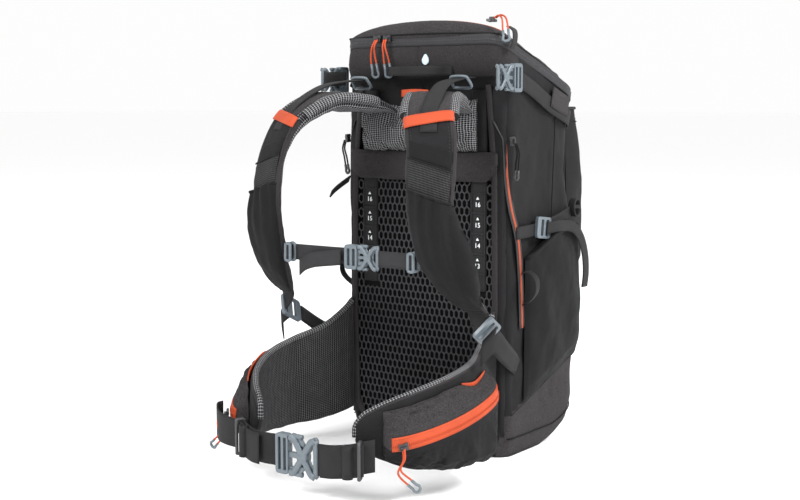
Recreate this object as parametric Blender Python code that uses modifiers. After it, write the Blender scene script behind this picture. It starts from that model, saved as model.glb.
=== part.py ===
"""A framed hiking daypack as an assembly of separate named pieces, in metres.

+Z is up, -Y is the wearer's side and +X is the wearer's left. The pack stands on its base at z = 0.
"""

import math

import bmesh
import bpy
from mathutils import Matrix, Vector

# ---- driving dimensions -------------------------------------------------------------------------
BACK_Y = -0.0088         # the plane of the back mesh; every other y is counted from here
GAP = 0.0004             # clearance between touching pieces
HALF_WIDTH = 0.128       # bag, outside
WALL = 0.005             # bag fabric with its lining and seam allowance
BASE_FLAT_END = 0.135    # where the flat underside ends and the toe curve begins
FRONT_HIGH = 0.186       # front wall, outside, at its top
FRONT_PROFILE = (        # (y, height) of the front wall, outside, from the toe of the base
    (0.163, 0.007), (0.186, 0.024), (0.203, 0.052), (0.212, 0.100), (0.2115, 0.160),
    (0.202, 0.240), (0.192, 0.320), (0.187, 0.400),
)
RIM_CLEAR = 0.003        # the walls end this far under the rim
RIM_FRONT = 0.4600       # height of the bag's sloping rim at the front and at the wearer's side
RIM_BACK = 0.5360
RIM_Y = -0.006           # the collar stands this far towards the wearer
LID_THICK = 0.016        # at its edge; the middle is fuller
LID_HALF = 0.124
LID_RISE = (             # (y, height over the rim) across the lid's top, from the front
    (0.187, 0.011), (0.176, 0.018), (0.090, 0.022), (0.020, 0.026), (-0.004, 0.024), (-0.008, 0.016),
)
LID_SAG = (              # (share of the half width, drop of the top)
    (-1.0, 0.010), (-0.91, 0.003), (-0.80, 0.0), (0.80, 0.0), (0.91, 0.003), (1.0, 0.010),
)
BACK_TOP = 0.486         # the back panel ends and the collar begins
SIDE_POCKET_Y = 0.122    # middle of the side pockets
PANEL_THICK = 0.010
MESH_THICK = 0.005
MESH_HALF, MESH_LOW, MESH_HIGH = 0.072, 0.030, 0.480
SHEET_HALF, SHEET_Y, SHEET_THICK = 0.095, 0.0168, 0.0018     # the stiffener behind the back panel
SHEET_LOW, SHEET_HIGH = 0.035, 0.455

FRONT_POCKET = (         # (height, half width, depth)
    (0.190, 0.088, 0.020), (0.205, 0.098, 0.048), (0.240, 0.105, 0.078), (0.290, 0.106, 0.088),
    (0.350, 0.106, 0.084), (0.400, 0.105, 0.072), (0.446, 0.104, 0.058),
)
SIDE_POCKET = (
    (0.078, 0.062, 0.006), (0.092, 0.068, 0.014), (0.140, 0.070, 0.017), (0.200, 0.070, 0.0165),
    (0.272, 0.069, 0.014),
)
FRONT_POCKET_WALL, SIDE_POCKET_WALL = 0.003, 0.0025
FRONT_POCKET_CORNER, SIDE_POCKET_CORNER = 0.026, 0.012

LADDER_X, LADDER_HALF = 0.086, 0.0115                    # the webbing that the yoke climbs
LADDER_LOW, LADDER_HIGH = 0.215, 0.470
BAND_LOW, BAND_HIGH = 0.356, 0.392
BAND_THICK = 0.003
YOKE_HALF, YOKE_FRONT, YOKE_HIGH = 0.088, 0.0165, 0.458

STRAP_THICK = 0.012
STRAP_STATIONS = (       # (centre, half width, degrees turned outwards)
    ((0.0640, -0.040, 0.4530), 0.030, 0), ((0.0700, -0.062, 0.4590), 0.031, 6),
    ((0.085, -0.098, 0.4600), 0.031, 14), ((0.105, -0.133, 0.4380), 0.030, 20),
    ((0.119, -0.148, 0.4020), 0.030, 20), ((0.124, -0.158, 0.3600), 0.029, 18),
    ((0.125, -0.158, 0.3150), 0.027, 14), ((0.128, -0.145, 0.2720), 0.024, 12),
    ((0.138, -0.120, 0.2330), 0.019, 12), ((0.149, -0.096, 0.2080), 0.014, 12),
)
STRAP_LOCK = Vector((0.1545, -0.083, 0.1830))            # y from the back
STRAP_LOCK_ACROSS = Vector((0.50, 0.48, 0.72))
STRAP_LOCK_HINGE = 0.0145                                # its tilting axis is this far up the webbing
LIFTER_LOCK = (0.078, -0.0300, 0.4745)
WEB = 0.0018             # webbing thickness
STRAP_WEB, STERNUM_WEB, HIP_WEB, SIDE_WEB = 0.025, 0.020, 0.038, 0.020

ANCHOR_TOP = Vector((0.060, BACK_Y - 0.006, 0.450))      # the shoulder strap swings about the line
ANCHOR_LOW = Vector((0.1355, BACK_Y + 0.030, 0.120))     # through its two anchors
WING_CENTRE = (0.005, -0.115)                            # the hip belt's arc in plan, y from the back
WING_RADIUS = 0.137
WING_THICK = 0.013
WING_ROOT = (0.1170, -0.016, 0.036, 0.116)               # x, y, bottom, top where it leaves the bag
WING_STATIONS = (        # (degrees round the arc, bottom, top), from the root to the tip
    (28, 0.032, 0.128), (8, 0.030, 0.139), (-12, 0.031, 0.136), (-32, 0.037, 0.124), (-48, 0.048, 0.110),
    (-60, 0.060, 0.094),
)
HIP_HINGE = (0.116, -0.010, 0.090)
HIP_POCKET_FIRST, HIP_POCKET_LAST = -47, 20              # degrees round the arc
ZIP_RADIUS, ZIP_MIDDLE, ZIP_SLOPE = 0.171, 0.0970, 0.247  # the arc of the hip pocket's zip
ZIP_START = -40                                          # degrees round that arc, the zip closed
STERNUM = Vector((0.012, BACK_Y - 0.148, 0.268))
HIP_BUCKLE = Vector((0.0, BACK_Y - 0.262, 0.048))
UPPER_BUCKLE = Vector((0.1370, BACK_Y - 0.004, 0.484))
STERNUM_SLIDER_X = (0.0890, 0.1010)
LID_SLIDER = (0.094, 0.0170)                             # x, y of the lid's closed zip
COLLAR_SLIDERS = (("left", -0.0480), ("right", -0.0640))
SIDE_SLIDER = (0.0100, 0.4060)                           # y, z of the side zip's closed end
SIDE_LOCK = (0.082, 0.2932)
SIDE_LOCK_OUT = 0.0056
PRONG_ROOT_IN, PRONG_ROOT_X = 0.0075, 0.0004             # a spring arm's root, from the edge and the mouth

SIDES = (("left", 1), ("right", -1))

BLACK = (0.012, 0.012, 0.013)
CHARCOAL = (0.035, 0.033, 0.035)
GREY_MESH = (0.11, 0.11, 0.115)
GREY_PLASTIC = (0.12, 0.14, 0.15)


# ---- tools --------------------------------------------------------------------------------------
def clear_scene():
    for obj in list(bpy.data.objects):
        bpy.data.objects.remove(obj, do_unlink=True)


def collection(name, rendered=True):
    made = bpy.data.collections.new(name)
    made.hide_render = not rendered
    bpy.context.scene.collection.children.link(made)
    return made


def material(name, colour, roughness, metallic=0.0):
    made = bpy.data.materials.new(name)
    made.use_nodes = True
    shader = made.node_tree.nodes["Principled BSDF"]
    shader.inputs["Base Color"].default_value = (*colour, 1.0)
    shader.inputs["Roughness"].default_value = roughness
    shader.inputs["Metallic"].default_value = metallic
    made.diffuse_color = (*colour, 1.0)
    return made


def add(name, mesh, finish, place=None):
    """A named piece of the pack."""
    obj = bpy.data.objects.new(name, mesh)
    if finish is not None:
        mesh.materials.clear()
        mesh.materials.append(finish)
    PACK.objects.link(obj)
    if place is not None:
        obj.matrix_world = place
    return obj


def add_cutter(name, mesh, place=None):
    obj = bpy.data.objects.new(name, mesh)
    CUTTERS.objects.link(obj)
    obj.hide_render = True
    obj.display_type = "WIRE"
    if place is not None:
        obj.matrix_world = place
    return obj


def bevel(obj, width, segments=2):
    made = obj.modifiers.new("Bevel", "BEVEL")
    made.width = width
    made.segments = segments
    made.limit_method = "ANGLE"
    made.angle_limit = math.radians(40)
    return obj


def solidify(obj, thickness, offset=0.0):
    made = obj.modifiers.new("Solidify", "SOLIDIFY")
    made.thickness = thickness
    made.offset = offset
    made.use_even_offset = True
    return obj


def boolean(obj, other, operation="DIFFERENCE"):
    made = obj.modifiers.new("Boolean", "BOOLEAN")
    made.operation = operation
    made.object = other
    made.solver = "EXACT"
    return obj


def box_mesh(name, size, centre=(0, 0, 0)):
    work = bmesh.new()
    bmesh.ops.create_cube(work, size=1.0)
    bmesh.ops.scale(work, vec=Vector(size), verts=work.verts)
    bmesh.ops.translate(work, vec=Vector(centre), verts=work.verts)
    return finish_mesh(work, name)


def finish_mesh(work, name):
    mesh = bpy.data.meshes.new(name)
    work.to_mesh(mesh)
    work.free()
    return mesh


def box(name, low, high, finish, round_by=0.0):
    """A box between two corners, whose y is counted from the back plane."""
    low, high = Vector(low), Vector(high)
    obj = add(name, box_mesh(name, high - low), finish)
    obj.location = (low + high) / 2 + Vector((0, BACK_Y, 0))
    return bevel(obj, round_by) if round_by else obj


def smooth(points, steps):
    """Points along a Catmull-Rom curve through the given ones."""
    rows = [Vector(p) for p in points]
    rows = [2 * rows[0] - rows[1], *rows, 2 * rows[-1] - rows[-2]]
    found = []
    for a, b, c, d in zip(rows, rows[1:], rows[2:], rows[3:]):
        for step in range(steps):
            t = step / steps
            square = (2 * a - 5 * b + 4 * c - d) * t**2
            cube = (3 * b - a - 3 * c + d) * t**3
            found.append(0.5 * (2 * b + (c - a) * t + square + cube))
    return [*found, rows[-2]]


def strip(name, centres, halves, thickness, finish, sign=1, round_by=0.0):
    """A band of even thickness.

    Each centre has a vector to its edge. sign -1 makes the other side's.
    """
    work = bmesh.new()
    flip = Vector((sign, 1, 1))
    rows = []
    for centre, half in zip(centres, halves):
        centre = Vector(centre) + Vector((0, BACK_Y, 0))
        half = Vector(half)
        rows.append([work.verts.new((centre + k * half) * flip) for k in (-1, 1)])
    for low, high in zip(rows, rows[1:]):
        work.faces.new((low[0], low[1], high[1], high[0]))
    obj = add(name, finish_mesh(work, name), finish)
    solidify(obj, thickness)
    return bevel(obj, round_by) if round_by else obj


def loft(name, rings, finish, sign=1):
    """A closed solid through rings of equally many points."""
    work = bmesh.new()
    rows = [
        [work.verts.new(Vector((sign * p[0], p[1] + BACK_Y, p[2]))) for p in ring] for ring in rings
    ]
    count = len(rows[0])
    for low, high in zip(rows, rows[1:]):
        for k in range(count):
            n = (k + 1) % count
            work.faces.new((low[k], low[n], high[n], high[k]))
    work.faces.new(rows[0])
    work.faces.new(rows[-1])
    bmesh.ops.recalc_face_normals(work, faces=work.faces)
    return add(name, finish_mesh(work, name), finish)


def plate(name, outlines, thickness, finish, place):
    """A flat plate in its local x-z plane.

    The first outline is its edge, and any others are holes.
    """
    curve = bpy.data.curves.new(name + "_outline", "CURVE")
    curve.dimensions = "2D"
    curve.fill_mode = "BOTH"
    curve.extrude = thickness / 2
    for outline in outlines:
        spline = curve.splines.new("POLY")
        spline.points.add(len(outline) - 1)
        for point, (x, z) in zip(spline.points, outline):
            point.co = (x, z, 0, 1)
        spline.use_cyclic_u = True
    drawn = bpy.data.objects.new(name + "_outline", curve)
    bpy.context.scene.collection.objects.link(drawn)
    graph = bpy.context.evaluated_depsgraph_get()
    mesh = bpy.data.meshes.new_from_object(drawn.evaluated_get(graph))
    bpy.data.objects.remove(drawn)
    work = bmesh.new()
    work.from_mesh(mesh)
    bmesh.ops.remove_doubles(work, verts=work.verts, dist=1e-6)
    bmesh.ops.transform(work, matrix=Matrix.Rotation(math.pi / 2, 4, "X"), verts=work.verts)
    bmesh.ops.recalc_face_normals(work, faces=work.faces)
    work.to_mesh(mesh)
    work.free()
    mesh.name = name
    return add(name, mesh, finish, place)


def rounded(half_x, half_z, radius, centre=(0, 0), steps=4):
    """The outline of a rounded rectangle."""
    points = []
    for quarter, (sx, sz) in enumerate(((1, 1), (-1, 1), (-1, -1), (1, -1))):
        for step in range(steps + 1):
            angle = math.pi / 2 * (quarter + step / steps)
            points.append(
                (
                    centre[0] + sx * (half_x - radius) + radius * math.cos(angle),
                    centre[1] + sz * (half_z - radius) + radius * math.sin(angle),
                )
            )
    return points


def pivot(name, spot, pieces, parent=None):
    """An empty on a joint's axis, with the pieces that move about it."""
    empty = bpy.data.objects.new(name, None)
    empty.location = Vector(spot)
    PACK.objects.link(empty)
    bpy.context.view_layer.update()
    for child in [bpy.data.objects[piece] for piece in pieces]:
        child.parent = empty
        child.matrix_parent_inverse = empty.matrix_world.inverted()
    if parent is not None:
        empty.parent = parent
        empty.matrix_parent_inverse = parent.matrix_world.inverted()
    return empty


def axes(origin, x_axis, y_axis):
    """A frame with its x along x_axis and its y as near y_axis as that allows."""
    x = Vector(x_axis).normalized()
    z = x.cross(Vector(y_axis)).normalized()
    y = z.cross(x)
    made = Matrix((x, y, z)).transposed().to_4x4()
    made.translation = Vector(origin)
    return made


# ---- the bag ------------------------------------------------------------------------------------
def rim_height(y):
    """The bag's opening slopes down from the wearer's side to the front."""
    return RIM_BACK + (RIM_FRONT - RIM_BACK) * (y - RIM_Y) / (FRONT_HIGH - RIM_Y)


def front_outline(inset, top):
    """(y, z) up the front wall, from the toe of the base to its rim."""
    points = [*FRONT_PROFILE, (FRONT_HIGH, top)]
    return [(y - inset, z + inset * 0.3) for y, z in points]


def bag_panels():
    half = HALF_WIDTH - WALL - GAP
    back = MESH_THICK + 2 * GAP
    collar_thick = 0.012
    box("back_panel", (-half, back, 0.012), (half, back + PANEL_THICK, BACK_TOP), FABRIC, 0.003)
    box("frame_sheet", (-SHEET_HALF, SHEET_Y, SHEET_LOW), (SHEET_HALF, SHEET_Y + SHEET_THICK, SHEET_HIGH),
        FRAME_PLASTIC, 0.0005)
    box("collar_panel", (-half, RIM_Y, BACK_TOP + GAP), (half, RIM_Y + collar_thick, RIM_BACK - 0.004),
        FABRIC, 0.002)
    box("back_mesh", (-MESH_HALF, 0.0, MESH_LOW), (MESH_HALF, MESH_THICK, MESH_HIGH), MESH, 0.001)

    path = [(0.0, 0.0125, WALL / 2), (0.0, BASE_FLAT_END, WALL / 2), (0.0, 0.1555, 0.0055)]
    strip("base_panel", path, [(half, 0, 0)] * len(path), WALL, BASE_FABRIC)

    wall = smooth([(0.0, y, z) for y, z in front_outline(WALL / 2, RIM_FRONT - RIM_CLEAR)], 2)
    strip("front_panel", wall, [(half, 0, 0)] * len(wall), WALL, FABRIC)

    for side, sign in SIDES:
        side_outline = [
            (0.012, 0.002), (BASE_FLAT_END, 0.002), (0.160, 0.006),
            *front_outline(0.0, RIM_FRONT - RIM_CLEAR)[1:],
            (RIM_Y + 0.001, RIM_BACK - RIM_CLEAR), (RIM_Y + 0.001, BACK_TOP + 0.002),
            (0.004, BACK_TOP - 0.01),
        ]
        place = axes((sign * (HALF_WIDTH - WALL / 2), BACK_Y, 0), (0, 1, 0), (-1, 0, 0))
        plate("side_panel_" + side, [side_outline], WALL, FABRIC, place)


def lid():
    """The lid turns on the front edge of the rim. Its own pocket makes it thick."""
    front, back = FRONT_HIGH, RIM_Y - 0.002
    low = [(back, rim_height(back)), (front, rim_height(front))]
    rings = []
    for x, sag in LID_SAG:
        top = [(y, rim_height(y) + rise - sag) for y, rise in LID_RISE]
        rings.append([(x * LID_HALF, y, z) for y, z in [*low, *top]])
    bevel(loft("lid_shell", rings, LID_FABRIC), 0.003)


def pouch(name, levels, corner, wall, finish, place):
    """A pocket of stretch fabric, open at its top and against the bag.

    Each level is (z, half width, depth, wall y): its section is a rounded U that stands out along
    the local y from the bag's wall.
    """
    work = bmesh.new()
    rows = []
    for z, half, depth, wall_y in levels:
        bend = min(corner, depth * 0.9)
        arc = [
            (half - bend + bend * math.cos(a), depth - bend + bend * math.sin(a))
            for a in (0.0, math.pi / 6, math.pi / 3, math.pi / 2)
        ]
        section = [(half, 0.0), *arc]
        section += [(-x, y) for x, y in reversed(section)]
        rows.append([work.verts.new((x, wall_y + y, z)) for x, y in section])
    for low, high in zip(rows, rows[1:]):
        for k in range(len(low) - 1):
            work.faces.new((low[k], low[k + 1], high[k + 1], high[k]))
    wall_y = levels[0][3]
    work.faces.new(rows[0])
    bmesh.ops.recalc_face_normals(work, faces=work.faces)
    middle = Vector((0, wall_y, (levels[0][0] + levels[-1][0]) / 2))
    if sum((f.calc_center_median() - middle).dot(f.normal) for f in work.faces) < 0:
        bmesh.ops.reverse_faces(work, faces=work.faces)
    obj = add(name, finish_mesh(work, name), finish, place)
    return solidify(obj, wall, -1.0)


def front_wall_y(z):
    """The outside of the front wall at a height."""
    rows = front_outline(0.0, RIM_FRONT)
    for (y0, z0), (y1, z1) in zip(rows, rows[1:]):
        if z0 <= z <= z1:
            return y0 + (y1 - y0) * (z - z0) / (z1 - z0)
    return rows[-1][0]


def pockets():
    levels = [(z, half, depth, front_wall_y(z) + 0.001) for z, half, depth in FRONT_POCKET]
    pouch("front_pocket", levels, FRONT_POCKET_CORNER, FRONT_POCKET_WALL, STRETCH,
          Matrix.Translation((0, BACK_Y, 0)))
    levels = [(z, half, depth, 0.0) for z, half, depth in SIDE_POCKET]
    for side, sign in SIDES:
        middle = Vector((sign * (HALF_WIDTH + GAP), BACK_Y + SIDE_POCKET_Y, 0))
        place = axes(middle, (0, -sign, 0), (sign, 0, 0))
        pouch("side_pocket_" + side, levels, SIDE_POCKET_CORNER, SIDE_POCKET_WALL, STRETCH, place)


def haul_loop():
    """A webbing handle on the collar, above the yoke."""
    low, z, half = RIM_Y - 0.0022, 0.4935, 0.006
    path = smooth([
        (-0.052, low, z), (-0.040, low, z), (-0.028, RIM_Y - 0.016, z), (0.0, RIM_Y - 0.025, z),
        (0.028, RIM_Y - 0.016, z), (0.040, low, z), (0.052, low, z),
    ], 3)
    strip("haul_loop", path, [(0, 0.0, half)] * len(path), 0.0020, WEBBING)


def ladders():
    for side, sign in SIDES:
        low, high = sorted((sign * (LADDER_X - LADDER_HALF), sign * (LADDER_X + LADDER_HALF)))
        box("scale_strip_" + side, (low, 0.0012, LADDER_LOW), (high, MESH_THICK, LADDER_HIGH), FABRIC, 0.0005)


# ---- webbing, ladder locks and buckles ------------------------------------------------------------
def ladder_lock(name, place, width, finish):
    """A three-bar adjuster, its bars along the local x."""
    half = width / 2 + 0.004
    tall = 0.017
    slots = [rounded(width / 2 + 0.0005, 0.0034, 0.0012, (0, z), 2) for z in (0.0075, -0.0045)]
    edge = rounded(half, tall, 0.005, (0, 0), 4)
    made = plate(name, [edge, *slots], 0.0045, finish, place)
    return bevel(made, 0.0008, 1)


def scalloped(length, half, waist, steps=8):
    """The hourglass outline of a side-release socket, from its mouth at x = 0."""
    upper = []
    for step in range(steps + 1):
        t = step / steps
        dip = waist * math.sin(math.pi * min(1.0, max(0.0, (t - 0.08) / 0.72))) ** 2
        upper.append((length * t, half - dip))
    return upper + [(x, -z) for x, z in reversed(upper)]


def side_release_buckle(name, place, width, prongs=True):
    """Socket and insert, with the two spring arms as their own pieces where asked.

    The insert leaves along the local -x, and z is across the webbing.
    """
    half = width / 2 + 0.005
    thick = 0.0080 + width * 0.07
    deep = width * 0.62 + 0.004
    slot_deep = thick - 0.0044
    long = deep + 0.013

    window = rounded(0.0024, width / 2 + 0.0005, 0.0012, (long - 0.0062, 0), 2)
    body = plate(name + "_body", [scalloped(long, half, width * 0.20), window], thick, HARDWARE, place)
    opening = box_mesh(name + "_mouth", (deep + 0.010, slot_deep, 2 * half + 0.02), (deep / 2 - 0.005, 0, 0))
    mouth = add_cutter(name + "_mouth", opening, place)
    boolean(body, mouth)

    arm = slot_deep - 0.0024
    frame_long = 0.019
    frame = rounded(frame_long / 2, half, 0.004, (-frame_long / 2 - 0.0006, 0), 3)
    bars = [rounded(0.0022, width / 2 + 0.0005, 0.001, (x, 0), 2) for x in (-0.0055, -0.0135)]
    insert = plate(name + "_insert", [frame, *bars], thick - 0.002, HARDWARE, place)
    tongue_half = width * 0.085
    rib = box_mesh(name + "_tongue", (deep * 0.8 + 0.002, arm, 2 * tongue_half), (deep * 0.4 - 0.001, 0, 0))
    tongue = add_cutter(name + "_tongue", rib, place)
    boolean(insert, tongue, "UNION")

    root = half - PRONG_ROOT_IN
    tip = half - 0.0035
    # each arm: a slim beam that widens into a catch, with a tapering nose
    outline = [
        (0.0, root - 0.0022), (deep * 0.50, root - 0.0030), (deep * 0.80, root - 0.0045),
        (deep * 0.80, root - 0.0018), (deep * 0.62, tip), (deep * 0.42, tip + 0.0006),
        (deep * 0.34, root + 0.0012), (0.0, root + 0.0022),
    ]
    for label, way in (("upper", 1), ("lower", -1)):
        points = [(x, way * z) for x, z in outline]
        if prongs:
            from_root = [(x - PRONG_ROOT_X, z - way * root) for x, z in points]
            at_root = place @ Matrix.Translation((PRONG_ROOT_X, 0, way * root))
            plate(name + "_prong_" + label, [from_root], arm, HARDWARE, at_root)
        else:
            points[0] = (-0.002, points[0][1])
            points[-1] = (-0.002, points[-1][1])
            piece = plate(name + "_arm_" + label, [points], arm, None, place)
            PACK.objects.unlink(piece)
            CUTTERS.objects.link(piece)
            piece.hide_render = True
            piece.display_type = "WIRE"
            boolean(insert, piece, "UNION")


def buckles():
    side_release_buckle("hip_buckle", axes(HIP_BUCKLE, (1, 0, 0), (0, 1, 0)), HIP_WEB)
    side_release_buckle("sternum_buckle", axes(STERNUM, (1, 0, 0), (0, 1, 0)), STERNUM_WEB)
    for side, sign in SIDES:
        spot = Vector((sign * UPPER_BUCKLE.x, UPPER_BUCKLE.y, UPPER_BUCKLE.z))
        place = axes(spot, (0, -1, 0.0), (sign, 0, 0))
        side_release_buckle("upper_buckle_" + side, place, STRAP_WEB, False)


def upper_and_side_webbing():
    """The straps that pull the bag together at the top and at half height."""
    skin = HALF_WIDTH + 0.0014
    for side, sign in SIDES:
        path = smooth([
            (skin, 0.018, 0.4850), (skin, 0.060, 0.4700), (skin, 0.105, 0.4500), (skin, 0.150, 0.4350),
            (skin, 0.180, 0.4290),
        ], 3)
        edge = (0, 0.003, STRAP_WEB / 2 - 0.001)
        strip("upper_webbing_" + side, path, [edge] * len(path), WEB, WEBBING, sign)
        path = [
            (skin, 0.022, 0.2900), (skin, 0.070, 0.2920), (skin, 0.120, 0.2990), (skin, 0.184, 0.3100),
        ]
        strip("side_webbing_" + side, path, [(0, 0, SIDE_WEB / 2)] * len(path), WEB, WEBBING, sign)
        spot = Vector((sign * (HALF_WIDTH + SIDE_LOCK_OUT), BACK_Y + SIDE_LOCK[0], SIDE_LOCK[1]))
        place = axes(spot, (0, 0.12, 1), (sign, 0, 0))
        ladder_lock("side_ladderlock_" + side, place, SIDE_WEB, HARDWARE)


# ---- the harness ----------------------------------------------------------------------------------
def yoke():
    """The band and pad that carry the shoulder straps, and slide on the back length ladder."""
    path = smooth([(-0.116, -0.0015, 0.372), (-0.070, -0.0045, 0.374), (0.0, -0.0050, 0.374),
                   (0.070, -0.0045, 0.374), (0.116, -0.0015, 0.372)], 3)
    strip("yoke_band", path, [(0, 0, (BAND_HIGH - BAND_LOW) / 2)] * len(path), BAND_THICK, FABRIC)
    low, high = (-YOKE_HALF, -YOKE_FRONT, BAND_HIGH + 0.001), (YOKE_HALF, -0.0012, YOKE_HIGH)
    box("yoke_pad", low, high, MESH, 0.005)
    for side, sign in SIDES:
        x, y, z = LIFTER_LOCK
        place = axes((sign * x, BACK_Y + y, z), (1, 0, 0), (0, 0.8, 0.6))
        ladder_lock("lifter_lock_" + side, place, STRAP_WEB, HARDWARE)


def strap_path():
    """(centre, vector to the outer edge) along a shoulder strap."""
    centres = smooth([centre for centre, _, _ in STRAP_STATIONS], 3)
    widths = smooth([(half, turn, 0) for _, half, turn in STRAP_STATIONS], 3)
    halves = [
        (w * math.cos(math.radians(t)), w * math.sin(math.radians(t)), 0.0) for w, t, _ in widths
    ]
    return centres, halves


def lower_line():
    """(the pack's lower corner, the direction towards it from the strap's adjuster)."""
    low = Vector((ANCHOR_LOW.x, ANCHOR_LOW.y - BACK_Y, ANCHOR_LOW.z))
    return low, (low - STRAP_LOCK).normalized()


def shoulder_straps():
    centres, halves = strap_path()
    lock = STRAP_LOCK
    low, along = lower_line()
    for side, sign in SIDES:
        strip("strap_pad_" + side, centres, halves, STRAP_THICK, PAD_FABRIC, sign, 0.003)
        across = (STRAP_LOCK_ACROSS - STRAP_LOCK_ACROSS.dot(along) * along).normalized()
        face = along.cross(across)
        x = Vector((sign * across.x, across.y, across.z))
        y = Vector((sign * face.x, face.y, face.z))
        spot = Vector((sign * lock.x, lock.y + BACK_Y, lock.z))
        ladder_lock("strap_ladderlock_" + side, axes(spot, x, y), STRAP_WEB, HARDWARE)
        start = lock + along * 0.0195
        stop = Vector((HALF_WIDTH + 0.0035, low.y, low.z))
        path = smooth([start, (start + stop) / 2 + Vector((0.001, 0, 0.001)), stop], 4)
        shares = [k / (len(path) - 1) for k in range(len(path))]
        sewn = Vector((0, 0.0060, 0.0085))
        half = [across * (STRAP_WEB / 2 * (1 - 0.99 * share)) + sewn * share for share in shares]
        strip("lower_webbing_" + side, path, half, WEB, WEBBING, sign)


def sternum_strap():
    """Each half is on a slider that travels up and down its shoulder strap."""
    y = STERNUM.y - BACK_Y
    for side, sign in SIDES:
        low, high = sorted(sign * x for x in STERNUM_SLIDER_X)
        tall = STERNUM_WEB / 2 + 0.003
        lower, upper = (low, y - 0.0105, STERNUM.z - tall), (high, y + 0.0065, STERNUM.z + tall)
        box("sternum_slider_" + side, lower, upper, HARDWARE, 0.002)
    for side, sign in SIDES:
        inner, behind = (STERNUM.x + 0.0310, 0.0) if side == "left" else (0.0035, 0.0052)
        z = STERNUM.z
        path = [(inner, y + behind, z), (0.060, y + behind * 0.8, z), (STERNUM_SLIDER_X[0] - 0.0005, y, z)]
        path = smooth(path, 3)
        strip("sternum_webbing_" + side, path, [(0, 0, STERNUM_WEB / 2)] * len(path), WEB, WEBBING, sign)


# ---- the hip belt ---------------------------------------------------------------------------------
def on_wing(degrees, radius):
    """A point in plan on the arc that the hip belt follows."""
    angle = math.radians(degrees)
    return WING_CENTRE[0] + radius * math.cos(angle), WING_CENTRE[1] + radius * math.sin(angle)


def zip_height(y):
    """The pocket's zip lies in a plane that drops towards the buckle."""
    return ZIP_MIDDLE + ZIP_SLOPE * (y - WING_CENTRE[1])


def hip_belt():
    rows = [WING_ROOT] + [(*on_wing(d, WING_RADIUS), low, high) for d, low, high in WING_STATIONS]
    centres = smooth([(x, y, (low + high) / 2) for x, y, low, high in rows], 3)
    halves = smooth([(0, 0, (high - low) / 2) for x, y, low, high in rows], 3)
    heights = {round(c.y, 6): (c.z - h.z, c.z + h.z) for c, h in zip(centres, halves)}
    stations = sorted(heights)
    for side, sign in SIDES:
        strip("hip_pad_" + side, centres, halves, WING_THICK, MESH, sign, 0.003)

        inner = WING_RADIUS + WING_THICK / 2 + 0.0018
        full = ZIP_RADIUS - 0.0028 - inner
        count = 9
        rings = []
        for k in range(count):
            t = k / (count - 1)
            degrees = HIP_POCKET_FIRST + (HIP_POCKET_LAST - HIP_POCKET_FIRST) * t
            bulge = full * max(0.06, 1 - abs(2 * t - 1) ** 4) ** 0.5
            y = on_wing(degrees, WING_RADIUS)[1]
            near = min(stations, key=lambda row: abs(row - y))
            low, high = heights[near]
            low, high = low - 0.004, high - 0.010
            line = zip_height(on_wing(degrees, ZIP_RADIUS)[1])
            levels = [
                (0.0, low), (0.62, low + 0.004), (0.94, low + 0.018), (1.0, line - 0.005),
                (1.0, line + 0.005), (0.66, line * 0.45 + high * 0.55), (0.30, high - 0.004), (0.0, high),
            ]
            rings.append([(*on_wing(degrees, inner + bulge * b), z) for b, z in levels])
        loft("hip_pocket_" + side, rings, POCKET_FABRIC, sign)

    z = HIP_BUCKLE.z
    y = HIP_BUCKLE.y - BACK_Y
    for side, sign in SIDES:
        if side == "left":
            path = [(0.0420, y, z), (0.0620, y + 0.003, z + 0.001), (0.0840, y + 0.011, z + 0.004),
                    (0.1040, y + 0.026, z + 0.009)]
        else:
            path = [(0.0060, y + 0.0075, z), (0.0400, y + 0.0075, z), (0.0620, y + 0.008, z + 0.001),
                    (0.0840, y + 0.013, z + 0.004), (0.1040, y + 0.026, z + 0.009)]
        path = smooth(path, 3)
        strip("hip_webbing_" + side, path, [(0, 0, HIP_WEB / 2)] * len(path), WEB, WEBBING, sign)


# ---- zip sliders ----------------------------------------------------------------------------------
def slider(name, place):
    """A zip slider: a waisted body under a bridge for its pull. It travels along its local x."""
    long = 0.011
    centred = place @ Matrix.Translation((-long / 2, 0, 0))
    body = plate(name, [scalloped(long, 0.0042, 0.0010, 4)], 0.0030, METAL, centred)
    arch = box_mesh(name + "_bridge", (0.007, 0.0040, 0.0018), (0, -0.0025, 0))
    boolean(body, add_cutter(name + "_bridge", arch, place), "UNION")


def zip_sliders():
    collar = RIM_Y - 0.0052
    for side, x in COLLAR_SLIDERS:
        slider("main_zip_slider_" + side, axes((x, BACK_Y + collar, RIM_BACK + 0.0005), (1, 0, 0), (0, 1, 0)))
    x, y = LID_SLIDER
    spot = (x, BACK_Y + y, rim_height(y) + LID_THICK + 0.0128)
    slider("lid_zip_slider", axes(spot, (1, 0, 0), (0, -0.15, -1)))
    for side, sign in SIDES:
        x, y = on_wing(ZIP_START, ZIP_RADIUS)
        out = Vector((sign * math.cos(math.radians(ZIP_START)), math.sin(math.radians(ZIP_START)), 0))
        along = Vector((-sign * out.y, sign * out.x, ZIP_SLOPE * abs(out.x)))
        place = axes((sign * x, BACK_Y + y, zip_height(y)), along, -out)
        slider("hip_zip_slider_" + side, place)
        spot = Vector((sign * (HALF_WIDTH + 0.0026), BACK_Y + SIDE_SLIDER[0], SIDE_SLIDER[1]))
        slider("side_zip_slider_" + side, axes(spot, (0, -0.07, 1), (-sign, 0, 0)))


# ---- joints -------------------------------------------------------------------------------------
def both(*names):
    return [f"{name}_{side}" for name in names for side, _ in SIDES]


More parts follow.
